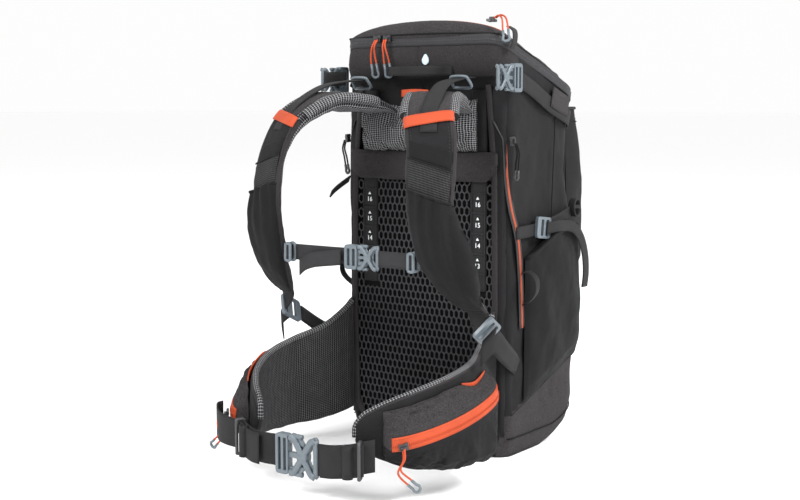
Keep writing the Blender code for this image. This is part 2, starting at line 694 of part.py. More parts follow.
def joint_axes():
    """Empties on the axes of the joints, each with the pieces that move about it."""
    lid_hinge = pivot("lid_hinge", (0, BACK_Y + FRONT_HIGH, RIM_FRONT), ["lid_shell"])
    x, y = LID_SLIDER
    lid_zip = ["lid_zip_slider", "lid_zip_slider_bridge"]
    pivot("lid_zip_track", (x, BACK_Y + y, rim_height(y) + LID_THICK), lid_zip, lid_hinge)
    yoke_track = pivot("yoke_track", (0, BACK_Y, BAND_HIGH), ["yoke_band", "yoke_pad", *both("lifter_lock")])
    for side, sign in SIDES:
        def mirrored(spot, y=0.0):
            return Vector((sign * spot[0], spot[1] + y, spot[2]))

        strap_pieces = [f"strap_pad_{side}", f"lower_webbing_{side}"]
        strap = pivot(f"strap_{side}_hinge", mirrored(ANCHOR_TOP), strap_pieces, yoke_track)
        tilt = STRAP_LOCK - lower_line()[1] * STRAP_LOCK_HINGE
        pivot(f"ladderlock_{side}_hinge", mirrored(tilt, BACK_Y), [f"strap_ladderlock_{side}"], strap)
        chest = [f"sternum_slider_{side}", f"sternum_webbing_{side}"]
        belt = [f"hip_pad_{side}", f"hip_pocket_{side}", f"hip_webbing_{side}"]
        if side == "left":
            chest += ["sternum_buckle_body", "sternum_buckle_mouth"]
            belt += ["hip_buckle_body", "hip_buckle_mouth"]
        spot = ((STERNUM_SLIDER_X[0] + STERNUM_SLIDER_X[1]) / 2, STERNUM.y, STERNUM.z)
        chest_track = pivot(f"sternum_{side}_track", mirrored(spot), chest, strap)
        hip_hinge = pivot(f"hip_{side}_hinge", mirrored(HIP_HINGE, BACK_Y), belt)
        zip_pieces = [f"hip_zip_slider_{side}", f"hip_zip_slider_{side}_bridge"]
        arc_centre = (WING_CENTRE[0], WING_CENTRE[1], ZIP_MIDDLE)
        pivot(f"hip_zip_{side}_hinge", mirrored(arc_centre, BACK_Y), zip_pieces, hip_hinge)
    chest_insert = pivot("sternum_release_track", STERNUM, ["sternum_buckle_insert", "sternum_buckle_tongue"],
                         chest_track)
    hip_insert = pivot("hip_release_track", HIP_BUCKLE, ["hip_buckle_insert", "hip_buckle_tongue"], hip_hinge)
    for name, owner in (("sternum_buckle", chest_insert), ("hip_buckle", hip_insert)):
        for label in ("upper", "lower"):
            prong = bpy.data.objects[f"{name}_prong_{label}"]
            pivot(f"{name}_{label}_spring", prong.matrix_world.translation, [prong.name], owner)


# ---- build ----------------------------------------------------------------------------------------
clear_scene()
PACK = collection("daypack")
CUTTERS = collection("cutters", rendered=False)
FABRIC = material("bag_fabric", CHARCOAL, 0.85)
LID_FABRIC = material("lid_fabric", CHARCOAL, 0.8)
BASE_FABRIC = material("base_fabric", CHARCOAL, 0.9)
STRETCH = material("stretch_fabric", BLACK, 0.8)
PAD_FABRIC = material("pad_fabric", CHARCOAL, 0.85)
POCKET_FABRIC = material("pocket_fabric", CHARCOAL, 0.8)
MESH = material("spacer_mesh", GREY_MESH, 0.9)
WEBBING = material("webbing", BLACK, 0.8)
HARDWARE = material("grey_plastic", GREY_PLASTIC, 0.45)
FRAME_PLASTIC = material("frame_plastic", BLACK, 0.5)
METAL = material("slider_metal", BLACK, 0.35, 0.8)

bag_panels()
lid()
pockets()
haul_loop()
ladders()
buckles()
upper_and_side_webbing()
yoke()
shoulder_straps()
sternum_strap()
hip_belt()
zip_sliders()
joint_axes()
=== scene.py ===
"""A framed hiking daypack in its fabrics, webbing, zips and moulded buckles, on a pale floor.

Every size is in metres. The pack stands on z = 0, the wearer is towards -Y, and BACK is the y of the
plane of its mesh back, from which the other depths are counted.
"""

import math

import bmesh
import bpy
from bpy.props import FloatProperty, FloatVectorProperty, PointerProperty
from mathutils import Matrix, Vector, noise


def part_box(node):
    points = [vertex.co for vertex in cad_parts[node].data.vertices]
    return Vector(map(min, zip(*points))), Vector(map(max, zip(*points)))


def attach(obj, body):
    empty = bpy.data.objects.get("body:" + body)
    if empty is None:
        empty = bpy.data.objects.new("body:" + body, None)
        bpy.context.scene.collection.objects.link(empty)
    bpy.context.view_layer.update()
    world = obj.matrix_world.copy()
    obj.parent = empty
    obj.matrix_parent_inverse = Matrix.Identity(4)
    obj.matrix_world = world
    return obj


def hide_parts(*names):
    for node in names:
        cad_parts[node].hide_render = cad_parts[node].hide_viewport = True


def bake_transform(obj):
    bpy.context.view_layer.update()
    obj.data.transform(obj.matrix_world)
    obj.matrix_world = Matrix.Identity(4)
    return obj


bl_info = {
    "name": "Hiking Daypack",
    "version": (1, 0, 0),
    "blender": (4, 5, 0),
    "location": "3D View > Sidebar > Daypack",
    "description": "Dresses the daypack's frame in fabric, webbing, zips and buckles",
    "category": "Object",
}

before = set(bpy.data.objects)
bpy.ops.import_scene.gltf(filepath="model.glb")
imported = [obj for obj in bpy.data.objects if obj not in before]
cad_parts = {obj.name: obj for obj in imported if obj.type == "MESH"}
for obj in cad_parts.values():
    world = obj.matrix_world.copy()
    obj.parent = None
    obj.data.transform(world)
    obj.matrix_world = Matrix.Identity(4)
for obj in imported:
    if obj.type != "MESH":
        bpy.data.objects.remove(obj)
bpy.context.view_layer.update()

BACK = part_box("back_mesh")[0][1]
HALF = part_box("side_panel_left")[1][0]
RIM_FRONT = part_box("front_panel")[1][2] + 0.0025
RIM_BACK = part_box("lid_shell")[1][2] - 0.0243
RIM_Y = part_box("collar_panel")[0][1] - BACK
FRONT_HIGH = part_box("lid_shell")[1][1] - BACK - 0.001
SIDES = (("left", 1), ("right", -1))


# ---- settings -----------------------------------------------------------------------------------
def colour(name, value, text):
    return FloatVectorProperty(name=name, default=value, subtype="COLOR", min=0, max=1, description=text)


def length(name, value, text):
    return FloatProperty(name=name, default=value, unit="LENGTH", min=0, description=text)


class DaypackLook(bpy.types.PropertyGroup):
    """Colours of the pack's fabrics and fittings."""

    heather: colour("Heather", (0.0270, 0.0247, 0.0256), "Main melange fabric")
    panel: colour("Panel", (0.0092, 0.0090, 0.0098), "Plain fabric of the sides and straps")
    stretch: colour("Stretch", (0.0060, 0.0060, 0.0066), "Stretch pockets")
    base: colour("Base", (0.0270, 0.0242, 0.0254), "Hard-wearing base fabric")
    web: colour("Webbing", (0.0125, 0.0123, 0.0132), "Woven webbing")
    strand: colour("Mesh strand", (0.040, 0.040, 0.043), "Strands of the open back mesh")
    spacer: colour("Spacer mesh", (0.30, 0.30, 0.31), "Light face of the padded mesh")
    plastic: colour("Plastic", (0.092, 0.112, 0.128), "Buckles and ladder locks")
    orange: colour("Orange", (0.37, 0.050, 0.014), "Trim bands and hip zips")
    rust: colour("Rust", (0.30, 0.052, 0.017), "Side zips")
    print_white: colour("Print", (0.75, 0.77, 0.78), "Printed numerals")
    drop: colour("Drop", (0.52, 0.66, 0.74), "Printed water drop")


class DaypackSizes(bpy.types.PropertyGroup):
    """Sizes that a maker would change."""

    cell: length("Mesh cell", 0.0076, "Width of one opening of the back mesh")
    cell_strand: length("Mesh strand", 0.00115, "Radius of a strand of the back mesh")
    stitch: length("Stitch pitch", 0.0042, "Distance from one stitch to the next")
    tooth: length("Zip tooth pitch", 0.0022, "Distance from one zip tooth to the next")
    cord: length("Pull cord", 0.00115, "Radius of a zip pull's cord")
    piping: length("Piping", 0.0009, "Radius of the seams' piping")
    web_thick: length("Webbing thickness", 0.0017, "Thickness of the woven webbing")
    wrinkle: length("Wrinkle", 0.0042, "Depth of the folds in the bag's fabric")


def look():
    return bpy.context.scene.daypack_look


def sizes():
    return bpy.context.scene.daypack_sizes


# ---- shader groups ------------------------------------------------------------------------------
def shader_group(name, inputs, outputs):
    """A node group with float or vector sockets, and its first and last nodes."""
    tree = bpy.data.node_groups.new(name, "ShaderNodeTree")
    for label, kind, value in inputs:
        socket = tree.interface.new_socket(label, in_out="INPUT", socket_type=kind)
        if value is not None:
            socket.default_value = value
    for label, kind in outputs:
        tree.interface.new_socket(label, in_out="OUTPUT", socket_type=kind)
    return tree, tree.nodes.new("NodeGroupInput"), tree.nodes.new("NodeGroupOutput")


def calc(tree, operation, first, second=None, third=None):
    """A Math node on sockets or numbers; gives its output."""
    node = tree.nodes.new("ShaderNodeMath")
    node.operation = operation
    for slot, value in enumerate((first, second, third)):
        if value is None:
            continue
        if isinstance(value, bpy.types.NodeSocket):
            tree.links.new(value, node.inputs[slot])
        else:
            node.inputs[slot].default_value = value
    return node.outputs[0]


def noise_of(tree, vector, scale, detail=2.0, rough=0.5):
    node = tree.nodes.new("ShaderNodeTexNoise")
    node.inputs["Detail"].default_value = detail
    node.inputs["Roughness"].default_value = rough
    if isinstance(scale, bpy.types.NodeSocket):
        tree.links.new(scale, node.inputs["Scale"])
    else:
        node.inputs["Scale"].default_value = scale
    tree.links.new(vector, node.inputs["Vector"])
    return node.outputs["Fac"]


def stretched(tree, vector, factors):
    node = tree.nodes.new("ShaderNodeVectorMath")
    node.operation = "MULTIPLY"
    node.inputs[1].default_value = factors
    tree.links.new(vector, node.inputs[0])
    return node.outputs[0]


def build_melange():
    """Speckle of light and dark yarns over slow clouds, about 1.0 on average."""
    tree, start, end = shader_group(
        "melange",
        [("Vector", "NodeSocketVector", None), ("Yarns", "NodeSocketFloat", 1500.0),
         ("Contrast", "NodeSocketFloat", 0.5), ("Cloud", "NodeSocketFloat", 0.25)],
        [("Factor", "NodeSocketFloat"), ("Height", "NodeSocketFloat")],
    )
    slub = noise_of(tree, stretched(tree, start.outputs["Vector"], (1, 1, 0.35)), start.outputs["Yarns"], 1.0)
    cross = noise_of(tree, stretched(tree, start.outputs["Vector"], (0.35, 0.35, 1)), start.outputs["Yarns"],
                     1.0)
    yarn = calc(tree, "ADD", slub, cross)
    yarn = calc(tree, "MULTIPLY", calc(tree, "SUBTRACT", yarn, 1.0), start.outputs["Contrast"])
    cloud = calc(tree, "SUBTRACT", noise_of(tree, start.outputs["Vector"], 14.0, 3.0), 0.5)
    cloud = calc(tree, "MULTIPLY", cloud, start.outputs["Cloud"])
    both = calc(tree, "ADD", calc(tree, "ADD", calc(tree, "MULTIPLY", yarn, 2.4), cloud), 1.0)
    tree.links.new(calc(tree, "MAXIMUM", both, 0.05), end.inputs["Factor"])
    tree.links.new(slub, end.inputs["Height"])
    return tree


def build_weave():
    """Height of a plain weave on a UV map in metres."""
    tree, start, end = shader_group(
        "weave",
        [("Vector", "NodeSocketVector", None), ("Across", "NodeSocketFloat", 900.0),
         ("Along", "NodeSocketFloat", 900.0)],
        [("Height", "NodeSocketFloat")],
    )
    split = tree.nodes.new("ShaderNodeSeparateXYZ")
    tree.links.new(start.outputs["Vector"], split.inputs[0])
    turns = 2 * math.pi
    u = calc(tree, "SINE", calc(tree, "MULTIPLY",
                                calc(tree, "MULTIPLY", split.outputs[0], start.outputs["Across"]), turns))
    v = calc(tree, "SINE", calc(tree, "MULTIPLY",
                                calc(tree, "MULTIPLY", split.outputs[1], start.outputs["Along"]), turns))
    tree.links.new(calc(tree, "MULTIPLY_ADD", calc(tree, "MULTIPLY", u, v), 0.5, 0.5), end.inputs["Height"])
    return tree


def build_perforation():
    """Staggered round holes on a UV map in metres: 1 on a strand and 0 in a hole."""
    tree, start, end = shader_group(
        "perforation",
        [("Vector", "NodeSocketVector", None), ("Holes", "NodeSocketFloat", 260.0),
         ("Open", "NodeSocketFloat", 0.1), ("Soft", "NodeSocketFloat", 0.25)],
        [("Strand", "NodeSocketFloat")],
    )
    split = tree.nodes.new("ShaderNodeSeparateXYZ")
    tree.links.new(start.outputs["Vector"], split.inputs[0])
    turns = 2 * math.pi
    u = calc(tree, "MULTIPLY", calc(tree, "MULTIPLY", split.outputs[0], start.outputs["Holes"]), turns)
    v = calc(tree, "MULTIPLY", calc(tree, "MULTIPLY", split.outputs[1], start.outputs["Holes"]), turns * 0.62)
    wave = calc(tree, "MULTIPLY", calc(tree, "COSINE", u), calc(tree, "COSINE", v))
    edge = calc(tree, "SUBTRACT", calc(tree, "ABSOLUTE", wave), start.outputs["Open"])
    strand = calc(tree, "SUBTRACT", 1.0, calc(tree, "DIVIDE", edge, start.outputs["Soft"]))
    node = tree.nodes.new("ShaderNodeClamp")
    tree.links.new(strand, node.inputs[0])
    tree.links.new(node.outputs[0], end.inputs["Strand"])
    return tree


GROUPS = {"melange": build_melange, "weave": build_weave, "perforation": build_perforation}


# ---- materials ----------------------------------------------------------------------------------
def placed(tree, group, **values):
    if group not in bpy.data.node_groups:
        GROUPS[group]()
    node = tree.nodes.new("ShaderNodeGroup")
    node.node_tree = bpy.data.node_groups[group]
    for label, value in values.items():
        if isinstance(value, bpy.types.NodeSocket):
            tree.links.new(value, node.inputs[label])
        else:
            node.inputs[label].default_value = value
    return node


def tinted(tree, base, factor):
    """The base colour times a factor that varies over the surface."""
    node = tree.nodes.new("ShaderNodeMix")
    node.data_type = "RGBA"
    node.blend_type = "MULTIPLY"
    node.inputs["Factor"].default_value = 1.0
    node.inputs["A"].default_value = (*base, 1.0)
    tree.links.new(factor, node.inputs["B"])
    return node.outputs["Result"]


def mixed(tree, mask, low, high):
    node = tree.nodes.new("ShaderNodeMix")
    node.data_type = "RGBA"
    tree.links.new(mask, node.inputs["Factor"])
    for label, value in (("A", low), ("B", high)):
        if isinstance(value, bpy.types.NodeSocket):
            tree.links.new(value, node.inputs[label])
        else:
            node.inputs[label].default_value = (*value, 1.0)
    return node.outputs["Result"]


def new_material(name, roughness, sheen=0.0, metallic=0.0, gloss=0.5):
    """An empty material, its tree, its shader and its coordinates."""
    made = bpy.data.materials.new(name)
    made.use_nodes = True
    tree = made.node_tree
    shader = tree.nodes["Principled BSDF"]
    shader.inputs["Roughness"].default_value = roughness
    shader.inputs["Metallic"].default_value = metallic
    shader.inputs["Sheen Weight"].default_value = sheen
    shader.inputs["Sheen Roughness"].default_value = 0.5
    shader.inputs["Specular IOR Level"].default_value = gloss
    return made, tree, shader, tree.nodes.new("ShaderNodeTexCoord")


def bumped(tree, shader, height, strength, distance):
    node = tree.nodes.new("ShaderNodeBump")
    node.inputs["Strength"].default_value = strength
    node.inputs["Distance"].default_value = distance
    tree.links.new(height, node.inputs["Height"])
    tree.links.new(node.outputs["Normal"], shader.inputs["Normal"])


def fabric(name, base, contrast=0.5, cloud=0.3, threads=1100.0, sheen=0.015, depth=0.0006):
    """Woven cloth: yarn speckle, slow unevenness, a plain weave and small creases."""
    made, tree, shader, spot = new_material(name, 0.82, sheen, gloss=0.13)
    speck = placed(tree, "melange", Vector=spot.outputs["Object"], Contrast=contrast, Cloud=cloud)
    tree.links.new(tinted(tree, base, speck.outputs["Factor"]), shader.inputs["Base Color"])
    weave = placed(tree, "weave", Vector=spot.outputs["UV"], Across=threads, Along=threads)
    crease = noise_of(tree, spot.outputs["Object"], 55.0, 4.0, 0.55)
    height = calc(tree, "ADD", calc(tree, "MULTIPLY", weave.outputs["Height"], 0.25),
                  calc(tree, "MULTIPLY", crease, 2.2))
    height = calc(tree, "ADD", height, calc(tree, "MULTIPLY", speck.outputs["Height"], 0.4))
    bumped(tree, shader, height, 0.6, depth)
    rough = calc(tree, "MULTIPLY_ADD", crease, 0.20, 0.68)
    tree.links.new(rough, shader.inputs["Roughness"])
    return made


def webbing_material(name, base):
    """Ribbed webbing: fine ribs across and a chevron of yarns along. Its colour is darker in the weave's low
    places, which is painted shade between the ribs.
    """
    made, tree, shader, spot = new_material(name, 0.7, 0.01, gloss=0.22)
    weave = placed(tree, "weave", Vector=spot.outputs["UV"], Across=420.0, Along=520.0)
    cloud = calc(tree, "MULTIPLY_ADD", noise_of(tree, spot.outputs["Object"], 60.0, 2.0), 0.5, 0.62)
    # tone: random cloud unevenness times painted shade that darkens the weave's low places
    tone = calc(tree, "MULTIPLY", cloud, calc(tree, "MULTIPLY_ADD", weave.outputs["Height"], 0.7, 0.72))
    tree.links.new(tinted(tree, base, tone), shader.inputs["Base Color"])
    bumped(tree, shader, weave.outputs["Height"], 0.7, 0.0006)
    return made


def spacer_material(name, strand, hole, holes=230.0, opening=0.10):
    """Padded spacer mesh: pale knitted strands round staggered dark holes."""
    made, tree, shader, spot = new_material(name, 0.85, 0.01, gloss=0.15)
    net = placed(tree, "perforation", Vector=spot.outputs["UV"], Holes=holes, Open=opening, Soft=0.22)
    cloud = calc(tree, "MULTIPLY_ADD", noise_of(tree, spot.outputs["Object"], 90.0, 3.0), 0.7, 0.6)
    tree.links.new(
        mixed(tree, net.outputs["Strand"], hole, tinted(tree, strand, cloud)), shader.inputs["Base Color"]
    )
    bumped(tree, shader, net.outputs["Strand"], 0.8, 0.0012)
    return made


def plastic_material(name, base, roughness=0.42):
    """Moulded acetal with a fine texture and faint scuffs."""
    made, tree, shader, spot = new_material(name, roughness)
    grain = noise_of(tree, spot.outputs["Object"], 1600.0, 2.0)
    scuff = noise_of(tree, spot.outputs["Object"], 120.0, 4.0, 0.65)
    tree.links.new(tinted(tree, base, calc(tree, "MULTIPLY_ADD", scuff, 0.5, 0.75)),
                   shader.inputs["Base Color"])
    tree.links.new(calc(tree, "MULTIPLY_ADD", scuff, 0.3, roughness - 0.15), shader.inputs["Roughness"])
    bumped(tree, shader, grain, 0.25, 0.0002)
    return made


def tape_material(name, base, rough=0.6):
    """Coated zip tape or woven ribbon with fine cross ribs."""
    made, tree, shader, spot = new_material(name, rough, gloss=0.25)
    weave = placed(tree, "weave", Vector=spot.outputs["UV"], Across=900.0, Along=900.0)
    cloud = noise_of(tree, spot.outputs["Object"], 45.0, 3.0)
    tree.links.new(tinted(tree, base, calc(tree, "MULTIPLY_ADD", cloud, 0.35, 0.83)),
                   shader.inputs["Base Color"])
    bumped(tree, shader, weave.outputs["Height"], 0.4, 0.0003)
    return made


def metal_material(name, base):
    made, tree, shader, spot = new_material(name, 0.38, 0.0, 0.6)
    scuff = noise_of(tree, spot.outputs["Object"], 300.0, 3.0)
    tree.links.new(tinted(tree, base, calc(tree, "MULTIPLY_ADD", scuff, 0.8, 0.6)), shader.inputs["Base Color"])
    tree.links.new(calc(tree, "MULTIPLY_ADD", scuff, 0.3, 0.28), shader.inputs["Roughness"])
    return made


def build_material(name):
    own = look()
    recipes = {
        "heather": lambda: fabric(name, own.heather, 0.85, 0.45),
        "panel": lambda: fabric(name, own.panel, 0.30, 0.30),
        "collar": lambda: fabric(name, [c * 0.85 for c in own.heather], 0.55, 0.4, depth=0.0008),
        "stretch": lambda: fabric(name, own.stretch, 0.25, 0.4, 1400.0, 0.02),
        "base": lambda: fabric(name, own.base, 0.90, 0.35),
        "shadow": lambda: fabric(name, [c * 0.35 for c in own.stretch], 0.2, 0.3),
        "lining": lambda: fabric(name, [c * 2.0 for c in own.heather], 0.2, 0.2, 1600.0, 0.0),
        "binding": lambda: fabric(name, [c * 0.8 for c in own.heather], 0.30, 0.2, 800.0, 0.02),
        "web": lambda: webbing_material(name, own.web),
        "web_light": lambda: webbing_material(name, [c * 1.7 for c in own.web]),
        "strand": lambda: fabric(name, own.strand, 0.55, 0.5, 1500.0, 0.02),
        "spacer": lambda: spacer_material(name, own.spacer, (0.010, 0.010, 0.011)),
        "spacer_fine": lambda: spacer_material(name, [c * 0.30 for c in own.spacer], (0.006, 0.006, 0.0065),
                                               230.0, 0.14),
        "pocket_mesh": lambda: spacer_material(name, [c * 0.17 for c in own.spacer], (0.006, 0.006, 0.0065),
                                               300.0, 0.16),
        "plastic": lambda: plastic_material(name, own.plastic),
        "plastic_dark": lambda: plastic_material(name, (0.03, 0.03, 0.032), 0.5),
        "orange": lambda: tape_material(name, own.orange),
        "rust": lambda: tape_material(name, own.rust, 0.5),
        "zip_black": lambda: tape_material(name, (0.022, 0.022, 0.024), 0.55),
        "tooth": lambda: plastic_material(name, (0.035, 0.035, 0.038), 0.35),
        "tooth_rust": lambda: plastic_material(name, own.rust, 0.4),
        "thread": lambda: fabric(name, [c * 3.0 for c in own.panel], 0.2, 0.2, 2500.0, 0.03),
        "thread_dark": lambda: fabric(name, [c * 0.6 for c in own.panel], 0.2, 0.2, 2500.0, 0.03),
        "ink": lambda: tape_material(name, own.print_white, 0.5),
        "drop": lambda: tape_material(name, own.drop, 0.5),
        "metal": lambda: metal_material(name, (0.05, 0.05, 0.053)),
        "floor": lambda: floor_material(name),
    }
    return recipes[name]()


def mat(name):
    return bpy.data.materials.get(name) or build_material(name)


def floor_material(name):
    made, tree, shader, spot = new_material(name, 0.9, gloss=0.1)
    haze = noise_of(tree, spot.outputs["Object"], 2.0, 3.0)
    tone = calc(tree, "MULTIPLY_ADD", haze, 0.01, 0.99)
    tree.links.new(tinted(tree, (0.985, 0.985, 0.985), tone), shader.inputs["Base Color"])
    return made


# ---- curves and surfaces ------------------------------------------------------------------------
def at(x, y, z):
    """A point whose depth is counted from the plane of the mesh back."""
    return Vector((x, BACK + y, z))


def smooth(points, steps):
    """Points along a Catmull-Rom curve through the given ones."""
    rows = [Vector(p) for p in points]
    rows = [2 * rows[0] - rows[1], *rows, 2 * rows[-1] - rows[-2]]
    found = []
    for a, b, c, d in zip(rows, rows[1:], rows[2:], rows[3:]):
        for step in range(steps):
            t = step / steps
            found.append(
                0.5 * (2 * b + (c - a) * t + (2 * a - 5 * b + 4 * c - d) * t**2
                       + (3 * b - a - 3 * c + d) * t**3)
            )
    return [*found, rows[-2]]


def ease(low, high, value):
    """0 below low, 1 above high, and smooth between them."""
    t = min(1.0, max(0.0, (value - low) / (high - low)))
    return t * t * (3 - 2 * t)


def along_table(rows, value):
    """Straight-line reading of (key, result) rows sorted by key."""
    if value <= rows[0][0]:
        return rows[0][1]
    for (k0, r0), (k1, r1) in zip(rows, rows[1:]):
        if value <= k1:
            return r0 + (r1 - r0) * (value - k0) / (k1 - k0)
    return rows[-1][1]


def rim_height(y):
    return RIM_BACK + (RIM_FRONT - RIM_BACK) * (y - RIM_Y) / (FRONT_HIGH - RIM_Y)


class Band:
    """A strap's middle line with a half-width vector at each point. at() finds a point on or over it."""

    def __init__(self, centres, halves, sign=1, steps=6):
        self.centres = smooth(centres, steps)
        self.halves = smooth(halves, steps)
        self.sign = sign
        self.reach = [0.0]
        for a, b in zip(self.centres, self.centres[1:]):
            self.reach.append(self.reach[-1] + (b - a).length)
        self.length = self.reach[-1]

    def _mix(self, rows, t):
        goal = min(max(t, 0.0), 1.0) * self.length
        k = 0
        while k < len(self.reach) - 2 and self.reach[k + 1] < goal:
            k += 1
        span = self.reach[k + 1] - self.reach[k]
        return rows[k].lerp(rows[k + 1], (goal - self.reach[k]) / span)

    def at(self, t, across=0.0, over=0.0):
        centre = self._mix(self.centres, t)
        half = self._mix(self.halves, t)
        before = self._mix(self.centres, t - 0.02)
        after = self._mix(self.centres, t + 0.02)
        normal = (after - before).cross(half).normalized()
        point = centre + across * half + over * normal
        return Vector((self.sign * point.x, point.y + BACK, point.z))


def make(name, verts, faces, materials, picks=None, uvs=None):
    """A smooth-shaded object. uvs holds one pair for each corner of each face."""
    mesh = bpy.data.meshes.new(name)
    mesh.from_pydata([tuple(v) for v in verts], [], faces)
    for slot in materials:
        mesh.materials.append(mat(slot))
    if picks:
        mesh.polygons.foreach_set("material_index", picks)
    layer = mesh.uv_layers.new(name="UVMap")
    if uvs:
        layer.data.foreach_set("uv", [c for pair in uvs for c in pair])
    mesh.polygons.foreach_set("use_smooth", [True] * len(mesh.polygons))
    obj = bpy.data.objects.new(name, mesh)
    bpy.context.scene.collection.objects.link(obj)
    return obj


def outward(obj):
    """Turns the faces of a closed piece outwards."""
    work = bmesh.new()
    work.from_mesh(obj.data)
    bmesh.ops.recalc_face_normals(work, faces=work.faces)
    work.to_mesh(obj.data)
    work.free()
    obj.data.update()
    return obj


def slab(name, top, bottom, nu, nv, materials, pick=None):
    """A closed piece between two surfaces over u and v from 0 to 1. pick gives a face's material slot."""
    grid_top = [[top(i / nu, j / nv) for j in range(nv + 1)] for i in range(nu + 1)]
    grid_low = [[bottom(i / nu, j / nv) for j in range(nv + 1)] for i in range(nu + 1)]
    row = nv + 1
    verts = [p for line in grid_top for p in line] + [p for line in grid_low for p in line]
    base = len(verts) // 2
    u_len, v_len = [0.0], [0.0]
    for i in range(nu):
        u_len.append(u_len[-1] + (grid_top[i + 1][nv // 2] - grid_top[i][nv // 2]).length)
    for j in range(nv):
        v_len.append(v_len[-1] + (grid_top[nu // 2][j + 1] - grid_top[nu // 2][j]).length)
    faces, picks, uvs = [], [], []

    def face(ids, places, part):
        faces.append(ids)
        uvs.extend((v_len[j], u_len[i]) for i, j in places)
        i, j = places[0]
        picks.append(pick((i + 0.5) / nu, (j + 0.5) / nv, part) if pick else 0)

    for i in range(nu):
        for j in range(nv):
            a, b, c, d = i * row + j, (i + 1) * row + j, (i + 1) * row + j + 1, i * row + j + 1
            places = [(i, j), (i + 1, j), (i + 1, j + 1), (i, j + 1)]
            face((a, b, c, d), places, "top")
            face((d + base, c + base, b + base, a + base), places[::-1], "bottom")
    for i in range(nu):
        for j, turn in ((0, 1), (nv, -1)):
            ids = [i * row + j, i * row + j + base, (i + 1) * row + j + base, (i + 1) * row + j]
            places = [(i, j), (i, j), (i + 1, j), (i + 1, j)]
            face(tuple(ids[::turn]), places[::turn], "side")
    for j in range(nv):
        for i, turn in ((0, -1), (nu, 1)):
            ids = [i * row + j, i * row + j + base, i * row + j + 1 + base, i * row + j + 1]
            places = [(i, j), (i, j), (i, j + 1), (i, j + 1)]
            face(tuple(ids[::turn]), places[::turn], "side")
    return outward(make(name, verts, faces, materials, picks, uvs))


def tube(name, path, radius, material, around=8, squeeze=1.0, flat=None):
    """A round cord or piping along a path. squeeze flattens it along flat."""
    verts, faces, uvs = [], [], []
    side = None
    run = 0.0
    for k, point in enumerate(path):
        tangent = (path[min(k + 1, len(path) - 1)] - path[max(k - 1, 0)]).normalized()
        if side is None:
            side = tangent.orthogonal().normalized()
        side = (side - side.dot(tangent) * tangent).normalized()
        other = tangent.cross(side)
        for step in range(around):
            angle = 2 * math.pi * step / around
            offset = radius * (math.cos(angle) * side + math.sin(angle) * other)
            if flat is not None:
                offset -= (1 - squeeze) * offset.dot(flat) * flat
            verts.append(point + offset)
    for k in range(len(path) - 1):
        step_long = (path[k + 1] - path[k]).length
        for step in range(around):
            n = (step + 1) % around
            a, b = k * around + step, k * around + n
            faces.append((a, b, b + around, a + around))
            u0, u1 = step / around * radius * 6, (step + 1) / around * radius * 6
            uvs += [(u0, run), (u1, run), (u1, run + step_long), (u0, run + step_long)]
        run += step_long
    for ring, order in ((0, -1), (len(path) - 1, 1)):
        cap = [ring * around + step for step in range(around)][::order]
        faces.append(tuple(cap))
        uvs += [(0, 0)] * around
    return make(name, verts, faces, [material], None, uvs)


def join(name, pieces):
    """One object from several."""
    work = bmesh.new()
    slots = []
    for piece in pieces:
        start = len(work.faces)
        shift = []
        for slot in piece.data.materials:
            if slot not in slots:
                slots.append(slot)
            shift.append(slots.index(slot))
        work.from_mesh(piece.data)
        work.faces.ensure_lookup_table()
        for face in work.faces[start:]:
            face.material_index = shift[face.material_index]
    mesh = bpy.data.meshes.new(name)
    work.to_mesh(mesh)
    work.free()
    for slot in slots:
        mesh.materials.append(slot)
    for piece in pieces:
        bpy.data.objects.remove(piece)
    obj = bpy.data.objects.new(name, mesh)
    bpy.context.scene.collection.objects.link(obj)
    return obj


def crumple(obj, depth, scale, stretch=(1, 1, 1), where=None, seed=0.0, inward=0.0, paired=False):
    """Folds in the cloth: moves points along their normals by smooth noise. paired keeps a slab's two
    faces the same distance apart."""
    shift = Vector((seed, seed * 1.7, seed * 0.6))
    moved = []
    for vertex in obj.data.vertices:
        p = vertex.co
        q = Vector((p.x * stretch[0], p.y * stretch[1], p.z * stretch[2])) * scale + shift
        value = noise.noise(q) + 0.5 * noise.noise(q * 2.1) - inward
        strength = 1.0 if where is None else where(p)
        moved.append(p + vertex.normal * (depth * value * strength))
    if paired:
        half = len(moved) // 2
        for k in range(half):
            moved[k + half] = obj.data.vertices[k + half].co + (moved[k] - obj.data.vertices[k].co)
    for vertex, place in zip(obj.data.vertices, moved):
        vertex.co = place
    obj.data.update()
    return obj


def inflate(obj, cap, free, force=4.0):
    """Blows a closed piece up as cloth. Its points move by cap at most, and only as far as free lets them."""
    start = [vertex.co.copy() for vertex in obj.data.vertices]
    pinned = obj.vertex_groups.new(name="pinned")
    for k, point in enumerate(start):
        pinned.add([k], 1.0 - free(point), "REPLACE")
    cloth = obj.modifiers.new("cloth", "CLOTH")
    cloth.settings.quality = 6
    cloth.settings.mass = 0.2
    cloth.settings.tension_stiffness = 12
    cloth.settings.compression_stiffness = 6
    cloth.settings.bending_stiffness = 0.3
    cloth.settings.use_pressure = True
    cloth.settings.uniform_pressure_force = force
    cloth.settings.effector_weights.gravity = 0
    cloth.settings.vertex_group_mass = "pinned"
    cloth.settings.shrink_min = -0.10
    cloth.point_cache.frame_start, cloth.point_cache.frame_end = 1, 20
    for number in range(1, 21):
        bpy.context.scene.frame_set(number)
    found = obj.evaluated_get(bpy.context.evaluated_depsgraph_get()).to_mesh()
    for vertex, place, made in zip(obj.data.vertices, start, found.vertices):
        move = made.co - place
        vertex.co = place + move * min(1.0, cap / max(move.length, 1e-9))
    obj.evaluated_get(bpy.context.evaluated_depsgraph_get()).to_mesh_clear()
    obj.modifiers.remove(cloth)
    obj.vertex_groups.remove(pinned)
    bpy.context.scene.frame_set(1)


def rides(obj, body, slot=None, *nodes):
    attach(obj, body)
    if nodes:
        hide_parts(*nodes)
    return obj


